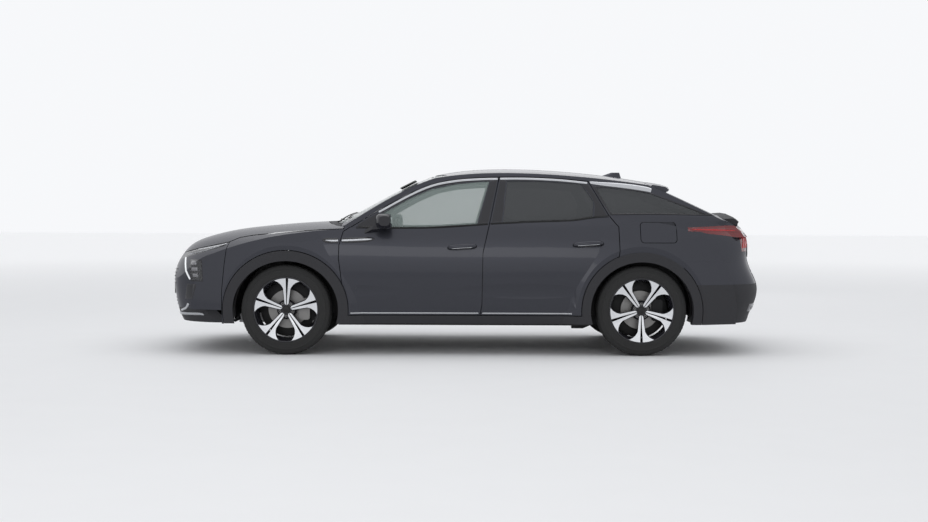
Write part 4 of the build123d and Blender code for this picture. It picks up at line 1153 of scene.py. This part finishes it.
class CROSSOVER_OT_door_fittings(bpy.types.Operator):
    """Fits handles and their recesses, mirror glass, door cards, armrests and speaker rings"""

    bl_idname = "crossover.door_fittings"
    bl_label = "Door Fittings"

    def execute(self, context):
        for side, sign in SIDES:
            for where, x0, x1, z in (("front", -0.146, 0.086, 0.845), ("rear", 0.834, 1.079, 0.870)):
                body = f"{where}_door_{side}"
                find = side_of(sign, body)
                mid = (x0 + x1) / 2
                low = [(x0 + 0.02, z - 0.004), (mid, z - 0.020), (x1 - 0.02, z + 0.004)]
                high = [(x0 + 0.02, z + 0.008), (mid, z + 0.014), (x1 - 0.02, z + 0.016)]
                patch(
                    f"handle_recess_{where}_{side}", find, low, high, 0.0015, "gloss_black", body, 6,
                    30,
                )
                path = [(x0, z - 0.004), (mid, z + 0.004), (x1, z + 0.010)]
                rise = lambda t: 0.004 + 0.030 * math.sin(math.pi * t) ** 0.55
                bar(
                    f"handle_{where}_{side}", find, path, 0.0165, 0.009, rise, "paint", body, 36,
                )
                path = [(x0 + 0.035, z - 0.0150), (mid, z - 0.0100), (x1 - 0.035, z - 0.0045)]
                bar(
                    f"handle_strip_{where}_{side}", find, path, 0.0025, 0.003,
                    lambda t: 0.032 + 0.004 * math.sin(math.pi * t), "chrome", body, 30,
                )
                self.card(where, side, sign, body)
            self.mirror(side, sign)
        return {"FINISHED"}

    def card(self, where, side, sign, body):
        """The soft armrest, cloth insert and speaker ring on the inside of a door."""
        x = -0.42 if where == "front" else 0.62
        inner = caster((0, sign, 0), body, reach=4)
        found = inner(x, 0.66)
        y = found[0].y if found else sign * 0.84
        size, centre = (0.52, 0.085, 0.07), (x, y - sign * 0.030, 0.69)
        rising = lambda u, v, w: Vector((0, 0, 0.012 * u))
        soft_box(f"armrest_{where}_{side}", size, centre, 0.5, 8, "leather", body, rising)
        found = inner(x + 0.1, 0.9)
        y = found[0].y if found else sign * 0.84
        size, centre = (0.60, 0.022, 0.085), (x, y - sign * 0.006, 0.885)
        soft_box(f"card_insert_{where}_{side}", size, centre, 0.45, 8, "cloth", body)
        found = inner(x - 0.30 if where == "front" else x - 0.15, 0.47)
        if found:
            centre = found[0]
            verts = []
            rings = ((0.085, 0.0), (0.082, 0.008), (0.072, 0.010), (0.070, 0.004), (0.0, 0.006))
            for r, h in rings:
                for k in range(48):
                    a = 2 * math.pi * k / 48
                    verts.append(centre + Vector((r * math.cos(a), -sign * h, r * math.sin(a))))
            faces = ring_faces(len(rings), 48)
            piece(f"speaker_{where}_{side}", verts, faces, "satin_black", body)

    def mirror(self, side, sign):
        """The mirror glass faces rearward in the mirror's shell."""
        body = f"front_door_{side}"
        find = caster((-1, 0, 0), f"door_mirror_{side}", reach=6)
        rows = []
        for i in range(9):
            row = []
            for j in range(9):
                u, v = -1 + i / 4, -1 + j / 4
                k = 1 - 0.18 * (u * u) * (v * v)
                found = find(sign * (0.962 + 0.052 * u * k), 1.050 + 0.040 * v * k)
                if found is None:
                    break
                edge = i in (0, 8) or j in (0, 8)
                row.append(found[0] + Vector((-0.001 if edge else 0.002, 0, 0)))
            if len(row) == 9:
                rows.append(row)
        if len(rows) > 2:
            sheet_piece(f"mirror_glass_{side}", rows, "mirror", body, ends=False)


class CROSSOVER_OT_tyres(bpy.types.Operator):
    """Builds the tyres, with grooved tread, sipes and ribbed sidewalls"""

    bl_idname = "crossover.tyres"
    bl_label = "Tyres"

    def execute(self, context):
        sizes = context.scene.crossover_wheels
        top = sizes.tyre_radius
        deep = sizes.groove_depth
        wall = [
            (0.0900, 0.2465), (0.0950, 0.2560), (0.0990, 0.2640), (0.1010, 0.2665), (0.1000, 0.2720),
            (0.1022, 0.2850), (0.1025, 0.2960),
        ]
        wall += [
            (0.1020, 0.3060), (0.1024, 0.3065), (0.1018, 0.3130), (0.1010, 0.3135), (0.0995, 0.3230),
            (0.0965, 0.3330), (0.0930, 0.3400),
        ]
        tread = [
            (0.0880, 0.3462), (0.0780, 0.3502), (0.0640, 0.3522), (0.0605, 0.3524), (0.0595, -1),
            (0.0515, -1), (0.0505, 0.3534),
        ]
        tread += [(0.0235, 0.3540), (0.0225, -1), (0.0145, -1), (0.0135, 0.3540)]
        half = [(y, top - DRAWN_RADIUS + r if r > 0 else top - deep) for y, r in wall + tread]
        profile = half + [(-y, r) for y, r in reversed(half)]
        count = sizes.sipes * 4

        def wave(j, k, r):
            y = abs(profile[j][0])
            if r < top - deep * 0.9 or y > 0.0935:
                return r
            if y > 0.0600 and k % 4 == 0:
                return r - deep * 0.75
            if 0.02 < y < 0.052 and k % 4 == 2:
                return r - deep * 0.45
            if y < 0.0140 and k % 8 == 1:
                return r - deep * 0.3
            return r

        for end, x in AXLES.items():
            for side, sign in SIDES:
                centre, body = (x, sign * HUB_Y, HUB_Z, sign), f"{end}_wheel_{side}"
                lathe(
                    f"tyre_{end}_{side}", profile, centre, "tyre", body, count,
                    [f"{end}_tyre_{side}"], wave,
                )
        return {"FINISHED"}


def grown(outline, distance):
    """A closed outline moved outward, corner by corner."""
    out = []
    n = len(outline)
    for i, (x, y) in enumerate(outline):
        a, b = outline[i - 1], outline[(i + 1) % n]
        first = Vector((x - a[0], y - a[1])).normalized()
        second = Vector((b[0] - x, b[1] - y)).normalized()
        normal = Vector((first.y + second.y, -first.x - second.x))
        if normal.length < 1e-6:
            normal = Vector((first.y, -first.x))
        normal.normalize()
        along = max(0.5, normal.dot(Vector((first.y, -first.x))))
        out.append((x + normal.x * distance / along, y + normal.y * distance / along))
    return out


class CROSSOVER_OT_rims(bpy.types.Operator):
    """Builds the rims: machined twin spokes over a gloss black frame, with bolts, valves and blank caps"""

    bl_idname = "crossover.rims"
    bl_label = "Rims"

    def execute(self, context):
        sizes = context.scene.crossover_wheels
        for end, x in AXLES.items():
            for side, sign in SIDES:
                self.wheel(end, side, (x, sign * HUB_Y, HUB_Z, sign), sizes)
        return {"FINISHED"}

    def wheel(self, end, side, centre, sizes):
        x, y, z, sign = centre
        label = f"{end}_{side}"
        body = f"{end}_wheel_{side}"
        rim = f"{end}_rim_{side}"
        dress(rim, "gloss_black")
        dress(f"{end}_disc_{side}", "iron")
        start = math.radians(sizes.front_turn if end == "front" else sizes.rear_turn)
        parts = []
        for k in range(sizes.spokes):
            for hand in (1, -1):
                parts.append(self.spoke(start + 2 * math.pi * k / sizes.spokes, hand, centre))
        verts, faces, index = [], [], []
        for v, f, i in parts:
            faces.extend([tuple(len(verts) + q for q in face) for face in f])
            verts.extend(v)
            index.extend(i)
        materials = ["machined", "gloss_black"]
        piece(
            f"spokes_{label}", verts, faces, materials, body, index, smooth=False,
            replaces=[rim],
        )
        barrel = [
            (0.0900, 0.2440), (0.0955, 0.2470), (0.0968, 0.2510), (0.0968, 0.2562), (0.0945, 0.2576),
            (0.0905, 0.2570),
        ]
        barrel = [(0.058, 0.2330), (0.078, 0.2375), *barrel]
        back = [
            (-0.0905, 0.2570), (-0.0950, 0.2576), (-0.0968, 0.2555), (-0.0968, 0.2480),
            (-0.0900, 0.2440), (-0.070, 0.2340),
        ]
        barrel = back + [(-0.030, 0.2260), (0.020, 0.2260)] + barrel
        lathe(f"rim_barrel_{label}", barrel, centre, "gloss_black", body, 144, [rim])
        hub = [(0.034, 0.078), (0.052, 0.072), (0.0605, 0.062), (0.0625, 0.040), (0.0625, 0.031)]
        lathe(f"rim_hub_{label}", hub, centre, "gloss_black", body, 72, [rim])
        # A real brake dust shield, carried out to 0.219 m, close to the barrel, so that its outer ring is
        # also a dark sheet of painted shade behind the spokes, where the bright floor would show through.
        dust_shield_and_shade = [(-0.0520, 0.0600), (-0.0500, 0.1200), (-0.0510, 0.1900), (-0.0550, 0.2190)]
        holder = f"knuckle_{side}" if end == "front" else "body"
        lathe(f"brake_shield_and_shade_{label}", dust_shield_and_shade, centre, "steel_black", holder, 72)
        cap = [(0.0615, 0.0310), (0.0700, 0.0305), (0.0725, 0.0285), (0.0722, 0.0250), (0.0712, 0.0230)]
        cap += [(0.0712, 0.0180), (0.0735, 0.0150), (0.0742, 0.0080), (0.0745, 0.0004)]
        lathe(f"centre_cap_{label}", cap, centre, "satin_black", body, 48)
        parts = []
        for k in range(sizes.bolts):
            a = start + 2 * math.pi * (k + 0.5) / sizes.bolts
            parts.append(
                self.bolt(x + 0.054 * math.cos(a), y + sign * 0.0612, z + 0.054 * math.sin(a), sign),
            )
        verts, faces, _ = gather(parts)
        piece(f"bolts_{label}", verts, faces, "iron", body)
        a = start + math.radians(36)
        base = Vector((x + 0.234 * math.cos(a), y + sign * 0.062, z + 0.234 * math.sin(a)))
        tip = base + Vector((-0.016 * math.cos(a), sign * 0.022, -0.016 * math.sin(a)))
        verts, faces = tube([base, base.lerp(tip, 0.5), tip], lambda t: 0.0055 - 0.0015 * t, 10)
        piece(f"valve_{label}", verts, faces, "rubber", body)

    def spoke(self, turn, hand, centre):
        """One bar of a twin spoke: a machined face that flares into a pad on the rim, above black flanks."""
        x0, y0, z0, sign = centre
        reach = 0.2515
        face = [(0.034, 0.0024), (0.110, 0.0045), (0.165, 0.0070), (0.215, 0.0092)]
        for degrees in (2.4, 7, 12, 17, 22.5, 27, 31.5):
            a = math.radians(degrees)
            face.append((reach * math.cos(a), reach * math.sin(a)))
        for radius, degrees in (
            (0.2482, 31.5), (0.2474, 27), (0.2440, 23.0), (0.2240, 18.0), (0.2000, 13.6),
            (0.1800, 11.2),
        ):
            a = math.radians(degrees)
            face.append((radius * math.cos(a), radius * math.sin(a)))
        face += [(0.164, 0.0285), (0.120, 0.0240), (0.070, 0.0185), (0.046, 0.0155)]
        rings = []
        for spread, drop in ((0.0, 0.0), (0.0045, 0.0060), (0.0060, 0.0300)):
            rings.append((grown(face, spread) if spread else face, drop))
        verts = []
        for outline, drop in rings:
            for along, off in outline:
                off = max(off, 0.0014) * hand
                far = math.hypot(along, off)
                if far > RIM_EDGE:
                    along, off = along * RIM_EDGE / far, off * RIM_EDGE / far
                height = 0.0665 + 0.0265 * min(1.0, max(0.0, (far - 0.058) / 0.186)) - drop
                px = along * math.cos(turn) - off * math.sin(turn)
                pz = along * math.sin(turn) + off * math.cos(turn)
                verts.append(Vector((x0 + px, y0 + sign * height, z0 + pz)))
        flanks = ring_faces(len(rings), len(face))
        return verts, [tuple(range(len(face))), *flanks], [0] + [1] * len(flanks)

    def bolt(self, x, y, z, sign):
        verts = []
        rings = (
            (0.0095, -0.004), (0.0095, 0.003), (0.0088, 0.0045), (0.0062, 0.0045), (0.0058, -0.001),
            (0.0003, -0.0012),
        )
        for r, h in rings:
            for k in range(12):
                a = 2 * math.pi * k / 12
                rr = r * (1.0 if r > 0.007 else 1.0 + 0.06 * (k % 2))
                verts.append(Vector((x + rr * math.cos(a), y + sign * h, z + rr * math.sin(a))))
        return verts, ring_faces(len(rings), 12)


def seat_form(size, crown, bolster, seam, channels=()):
    """A move for rounded_box that gives a cushion its crown, side bolsters and sewn channels."""

    def shape(u, v, w):
        rise = crown * (1 - u * u) * (1 - v * v)
        side = bolster * max(0.0, (abs(v) - SIDE_PANEL) / 0.38) ** 0.6 * (1 - 0.5 * u * u)
        dip = 0.0
        for c in channels:
            stitch = math.exp(-(((u - c) * size[0] / 2) / 0.006) ** 2)
            dip += seam * stitch * (1 if abs(v) < SIDE_PANEL else 0.2)
        dip += seam * math.exp(-(((abs(v) - SIDE_PANEL) * size[1] / 2) / 0.007) ** 2)
        return Vector((0, 0, (rise + side - dip) * (1 if w > 0.2 else 0)))

    return shape


class CROSSOVER_OT_seats(bpy.types.Operator):
    """Upholsters the front seats and the rear bench"""

    bl_idname = "crossover.seats"
    bl_label = "Seats"

    def execute(self, context):
        sizes = context.scene.crossover_cabin
        wide, bolster, seam = sizes.seat_width, sizes.bolster, sizes.seam
        for side, sign in SIDES:
            y = sign * 0.37
            seat = (0.55, wide, 0.15)
            form = seat_form(seat, 0.012, bolster, seam, (-0.55, -0.1, 0.35))
            self.pad(
                f"front_cushion_{side}", seat, (-0.180, y, 0.452), 0.45, 34, form, 6, 0.8,
                "front_seats",
            )
            back = (0.56, wide - 0.02, 0.125)
            form = seat_form(back, 0.010, bolster, seam, (-0.5, 0.0, 0.5))
            self.pad(
                f"front_back_{side}", back, (0.205, y, 0.690), 0.45, 34, form, -64, 0.8, "front_seats",
            )
            rest = (0.085, 0.245, 0.175)
            self.pad(
                f"front_headrest_{side}", rest, (0.312, y, 1.000), 0.6, 16, None, 14, 0.9,
                "front_seats",
            )
            posts = [
                tube([(0.285, y + d, 0.86), (0.300, y + d, 0.93), (0.309, y + d, 0.98)], 0.006, 10)
                for d in (-0.05, 0.05)
            ]
            verts, faces, _ = gather(posts)
            piece(f"headrest_posts_{side}", verts, faces, "iron", "body")
            base = (0.46, wide - 0.06, 0.125)
            soft_box(
                f"seat_base_{side}", base, (-0.15, y, 0.327), 0.25, 6, "black_trim", "body",
            )
        side_roll = bolster * 0.4
        for k, (y, w) in enumerate(((-0.42, 0.43), (0.0, 0.40), (0.42, 0.43))):
            seat = (0.50, w, 0.20)
            form = seat_form(seat, 0.012, side_roll, seam, (-0.2, 0.4))
            self.pad(f"rear_cushion_{k}", seat, (0.690, y, 0.415), 0.4, 26, form, 3, 0.8, "rear_seat")
        for k, (y, w) in enumerate(((-0.36, 0.36), (0.0, 0.35), (0.36, 0.36))):
            back = (0.50, w, 0.13)
            form = seat_form(back, 0.010, side_roll, seam, (-0.4, 0.2))
            self.pad(f"rear_back_{k}", back, (1.035, y, 0.715), 0.4, 26, form, -66, 0.8, "rear_seat")
            rest = (0.075, 0.23, 0.11)
            self.pad(f"rear_headrest_{k}", rest, (1.135, y, 0.945), 0.6, 12, None, 18, 0.8, "rear_seat")
        soft_box(
            "rear_seat_base", (0.46, 1.20, 0.08), (0.69, 0, 0.305), 0.2, 8, "carpet", "body",
        )
        return {"FINISHED"}

    def pad(self, name, size, centre, radius, cuts, form, turn, fill, node):
        """One cloth cushion, which stands for part of a CAD seat."""
        made = soft_box(name, size, centre, radius, cuts, "cloth", "body", form, turn, [node])


# Plain cabin pieces: name, size, middle, roundness, cuts, finish, slot, degrees turned
CABIN_BOXES = (
    (
        "centre_display", (0.022, 0.30, 0.165), (-0.652, 0.02, 0.985), 0.12, 8, "screen", "gloss_black",
        -14,
    ),
    (
        "driver_display", (0.02, 0.22, 0.09), (-0.668, -0.37, 0.972), 0.15, 8, "screen", "gloss_black",
        -20,
    ),
    ("dashboard_blade", (0.10, 1.36, 0.026), (-0.665, 0, 0.905), 0.5, 10, "satin_alloy", "alloy", 0),
    ("console_armrest", (0.30, 0.18, 0.07), (0.0, 0, 0.585), 0.5, 10, "leather", "soft_black", 0),
    (
        "gear_selector", (0.035, 0.05, 0.045), (-0.44, 0, 0.565), 0.55, 8, "gloss_black", "gloss_black",
        0,
    ),
    (
        "inner_mirror", (0.03, 0.24, 0.065), (-0.40, 0, 1.305), 0.6, 10, "gloss_black", "gloss_black",
        -12,
    ),
    ("floor_mat_left", (0.75, 0.44, 0.012), (-0.60, -0.40, 0.269), 0.1, 6, "carpet", "soft_black", 0),
    ("floor_mat_right", (0.75, 0.44, 0.012), (-0.60, 0.40, 0.269), 0.1, 6, "carpet", "soft_black", 0),
    (
        "sun_visor_left", (0.14, 0.40, 0.008), (-0.47, -0.36, 1.345), 0.3, 6, "headlining",
        "soft_black", -27,
    ),
    (
        "sun_visor_right", (0.14, 0.40, 0.008), (-0.47, 0.36, 1.345), 0.3, 6, "headlining",
        "soft_black", -27,
    ),
)


class CROSSOVER_OT_dashboard(bpy.types.Operator):
    """Fits the displays, vents, console, steering wheel, inner mirror and carpets"""

    bl_idname = "crossover.dashboard"
    bl_label = "Dashboard"

    def execute(self, context):
        for name, size, centre, radius, cuts, finish, slot, turn in CABIN_BOXES:
            soft_box(name, size, centre, radius, cuts, finish, "body", turn=turn)
        fins = []
        for y in (-0.655, -0.13, 0.13, 0.655):
            for k in range(5):
                fins.append(rounded_box((0.012, 0.10, 0.004), (-0.630, y, 0.845 + 0.011 * k), 0.3, 3))
        verts, faces, _ = gather(fins)
        piece("vent_fins", verts, faces, "satin_black", "body")
        rising = lambda u, v, w: Vector((0, 0, 0.03 * u if w > 0 else 0))
        size, centre = (0.86, 0.20, 0.17), (-0.30, 0, 0.455)
        soft_box("centre_console", size, centre, 0.3, 12, "soft_black", "body", rising)
        self.wheel()
        verts, faces = tube([(-0.405, 0, 1.33), (-0.43, 0, 1.352), (-0.437, 0, 1.358)], 0.008, 10)
        piece("inner_mirror_stem", verts, faces, "satin_black", "body")
        return {"FINISHED"}

    def wheel(self):
        """A leather rim, a padded hub and three spokes, square to the column."""
        origin = Vector((-0.49, -0.37, 0.90))
        out = Vector((0.9, 0, 0.42)).normalized()
        across = Vector((0, 1, 0))
        up = out.cross(across).normalized()
        if up.z < 0:
            up = -up
        angles = [2 * math.pi * k / 72 for k in range(72)]
        ring = [origin + (across * math.cos(a) + up * math.sin(a)) * 0.169 for a in angles]
        leather = tube(ring, 0.0135, 14, closed=True)
        parts = [(*leather, 0)]
        hub_verts, hub_faces = rounded_box((0.035, 0.15, 0.12), (0, 0, 0), 0.55, 10)
        turn = Matrix((out, across, up)).transposed()
        parts.append(([turn @ v + origin for v in hub_verts], hub_faces, 1))
        for a in (math.radians(8), math.radians(172), math.radians(270)):
            away = across * math.cos(a) + up * math.sin(a)
            spine = [origin + away * r for r in (0.05, 0.09, 0.13, 0.165)]
            parts.append((*tube(spine, lambda t: 0.015 - 0.005 * t, 10), 2))
        verts, faces, index = gather(parts)
        piece(
            "steering_wheel_trim", verts, faces, ["leather", "soft_black", "satin_alloy"], "body",
            index, replaces=["steering_wheel"],
        )
        line = [origin - out * d for d in (0.015, 0.09, 0.16)]
        verts, faces = tube(line, lambda t: 0.030 + 0.012 * t, 20)
        piece("column_shroud", verts, faces, "soft_black", "body")
        for k, side in enumerate((-1, 1)):
            base = origin - out * 0.06 + across * side * 0.03
            middle = base + across * side * 0.07 + up * 0.01
            end = base + across * side * 0.14 + up * 0.012
            verts, faces = tube([base, middle, end], lambda t: 0.008 - 0.002 * t, 10)
            piece(f"column_stalk_{k}", verts, faces, "soft_black", "body")


class CROSSOVER_OT_engine_bay(bpy.types.Operator):
    """Dresses the engine with its cover and intake hose"""

    bl_idname = "crossover.engine_bay"
    bl_label = "Engine Bay"

    def execute(self, context):
        ribs = lambda u, v, w: Vector((0, 0, (0.006 * math.cos(v * 14) if w > 0.2 else 0)))
        size, centre = (0.27, 0.62, 0.05), (-1.71, -0.02, 0.868)
        soft_box("engine_cover", size, centre, 0.35, 22, "black_trim", "body", ribs)
        verts, faces = tube(
            [(-1.85, -0.20, 0.80), (-1.94, -0.22, 0.78), (-2.03, -0.18, 0.74), (-2.10, -0.10, 0.68)],
            0.028, 16,
        )
        piece("intake_hose", verts, faces, "rubber", "body")
        return {"FINISHED"}


class CROSSOVER_OT_stage(bpy.types.Operator):
    """Sets up the floor, the studio lights, the pale surroundings and the camera"""

    bl_idname = "crossover.stage"
    bl_label = "Stage"

    def execute(self, context):
        stage = context.scene.crossover_stage
        scene = context.scene
        scene.view_settings.view_transform = "Standard"
        mesh = bpy.data.meshes.new("studio_floor")
        mesh.from_pydata([(-60, -60, 0), (60, -60, 0), (60, 60, 0), (-60, 60, 0)], [], [(0, 1, 2, 3)])
        mesh.materials.append(m("floor"))
        floor = link("studio_floor", mesh)
        self.light("overhead_softbox", (0, 0, 5.2), (0, 0, 0), (7.0, 3.4), stage.softbox_power)
        self.light(
            "near_softbox", (-1.0, -8.0, 3.4), (0, 0, 0.6), (6.0, 1.6), stage.softbox_power * 0.50,
        )
        self.light("far_softbox", (1.5, 8.0, 3.4), (0, 0, 0.6), (6.0, 1.6), stage.softbox_power * 0.30)
        self.surroundings(scene)
        data = bpy.data.cameras.new("camera")
        data.lens = stage.focal
        data.sensor_width = 36
        data.clip_end = 300
        camera = bpy.data.objects.new("camera", data)
        scene.collection.objects.link(camera)
        camera.location = (-0.015, -stage.camera_distance, stage.camera_height)
        camera.rotation_euler = (math.radians(90 - 2.05), 0, 0)
        camera.rotation_mode = "XYZ"
        camera.rotation_euler.rotate_axis("Z", math.radians(0.21))
        scene.camera = camera
        return {"FINISHED"}

    def light(self, name, place, aim, size, power):
        data = bpy.data.lights.new(name, "AREA")
        data.shape = "RECTANGLE"
        data.size, data.size_y = size
        data.energy = power
        lamp = bpy.data.objects.new(name, data)
        bpy.context.scene.collection.objects.link(lamp)
        lamp.location = place
        lamp.rotation_euler = (Vector(aim) - Vector(place)).to_track_quat("-Z", "Y").to_euler()

    def surroundings(self, scene):
        world = bpy.data.worlds.new("studio")
        scene.world = world
        world.use_nodes = True
        tree = world.node_tree
        back = tree.nodes["Background"]
        back.inputs["Color"].default_value = (0.93, 0.94, 0.96, 1)
        path = tree.nodes.new("ShaderNodeLightPath")
        seen = node(
            tree, "ShaderNodeMath",
            {0: path.outputs["Is Camera Ray"], 1: path.outputs["Is Transmission Ray"]},
            operation="MAXIMUM",
        )
        shown = node(
            tree, "ShaderNodeMath", {0: seen.outputs[0], 1: path.outputs["Is Glossy Ray"]},
            operation="MAXIMUM",
        )
        level = node(
            tree, "ShaderNodeMapRange", {"Value": shown.outputs[0], "To Min": 0.8, "To Max": 1.0},
        )
        tree.links.new(level.outputs["Result"], back.inputs["Strength"])


OPERATORS = (
    CROSSOVER_OT_body,
    CROSSOVER_OT_brightwork,
    CROSSOVER_OT_window_surrounds,
    CROSSOVER_OT_lamps,
    CROSSOVER_OT_front_end,
    CROSSOVER_OT_rear_end,
    CROSSOVER_OT_door_fittings,
    CROSSOVER_OT_tyres,
    CROSSOVER_OT_rims,
    CROSSOVER_OT_seats,
    CROSSOVER_OT_dashboard,
    CROSSOVER_OT_engine_bay,
    CROSSOVER_OT_stage,
)
SETTINGS = {
    "crossover_finish": CrossoverFinish,
    "crossover_wheels": CrossoverWheels,
    "crossover_cabin": CrossoverCabin,
    "crossover_stage": CrossoverStage,
}


class CROSSOVER_PT_panel(bpy.types.Panel):
    """Lists the crossover's settings and its pieces"""

    bl_idname = "CROSSOVER_PT_panel"
    bl_label = "Fastback Crossover"
    bl_space_type = "VIEW_3D"
    bl_region_type = "UI"
    bl_category = "Crossover"

    def draw(self, context):
        for name, kind in SETTINGS.items():
            box = self.layout.box()
            for prop in kind.__annotations__:
                box.prop(getattr(context.scene, name), prop)
        for operator in OPERATORS:
            self.layout.operator(operator.bl_idname)


def register():
    for kind in SETTINGS.values():
        bpy.utils.register_class(kind)
    for name, kind in SETTINGS.items():
        setattr(bpy.types.Scene, name, bpy.props.PointerProperty(type=kind))
    for operator in OPERATORS:
        bpy.utils.register_class(operator)
    bpy.utils.register_class(CROSSOVER_PT_panel)


def unregister():
    bpy.utils.unregister_class(CROSSOVER_PT_panel)
    for operator in reversed(OPERATORS):
        bpy.utils.unregister_class(operator)
    for name, kind in reversed(list(SETTINGS.items())):
        delattr(bpy.types.Scene, name)
        bpy.utils.unregister_class(kind)


def main():
    register()
    for operator in OPERATORS:
        group, name = operator.bl_idname.split(".")
        getattr(getattr(bpy.ops, group), name)()


if __name__ == "__main__":
    main()
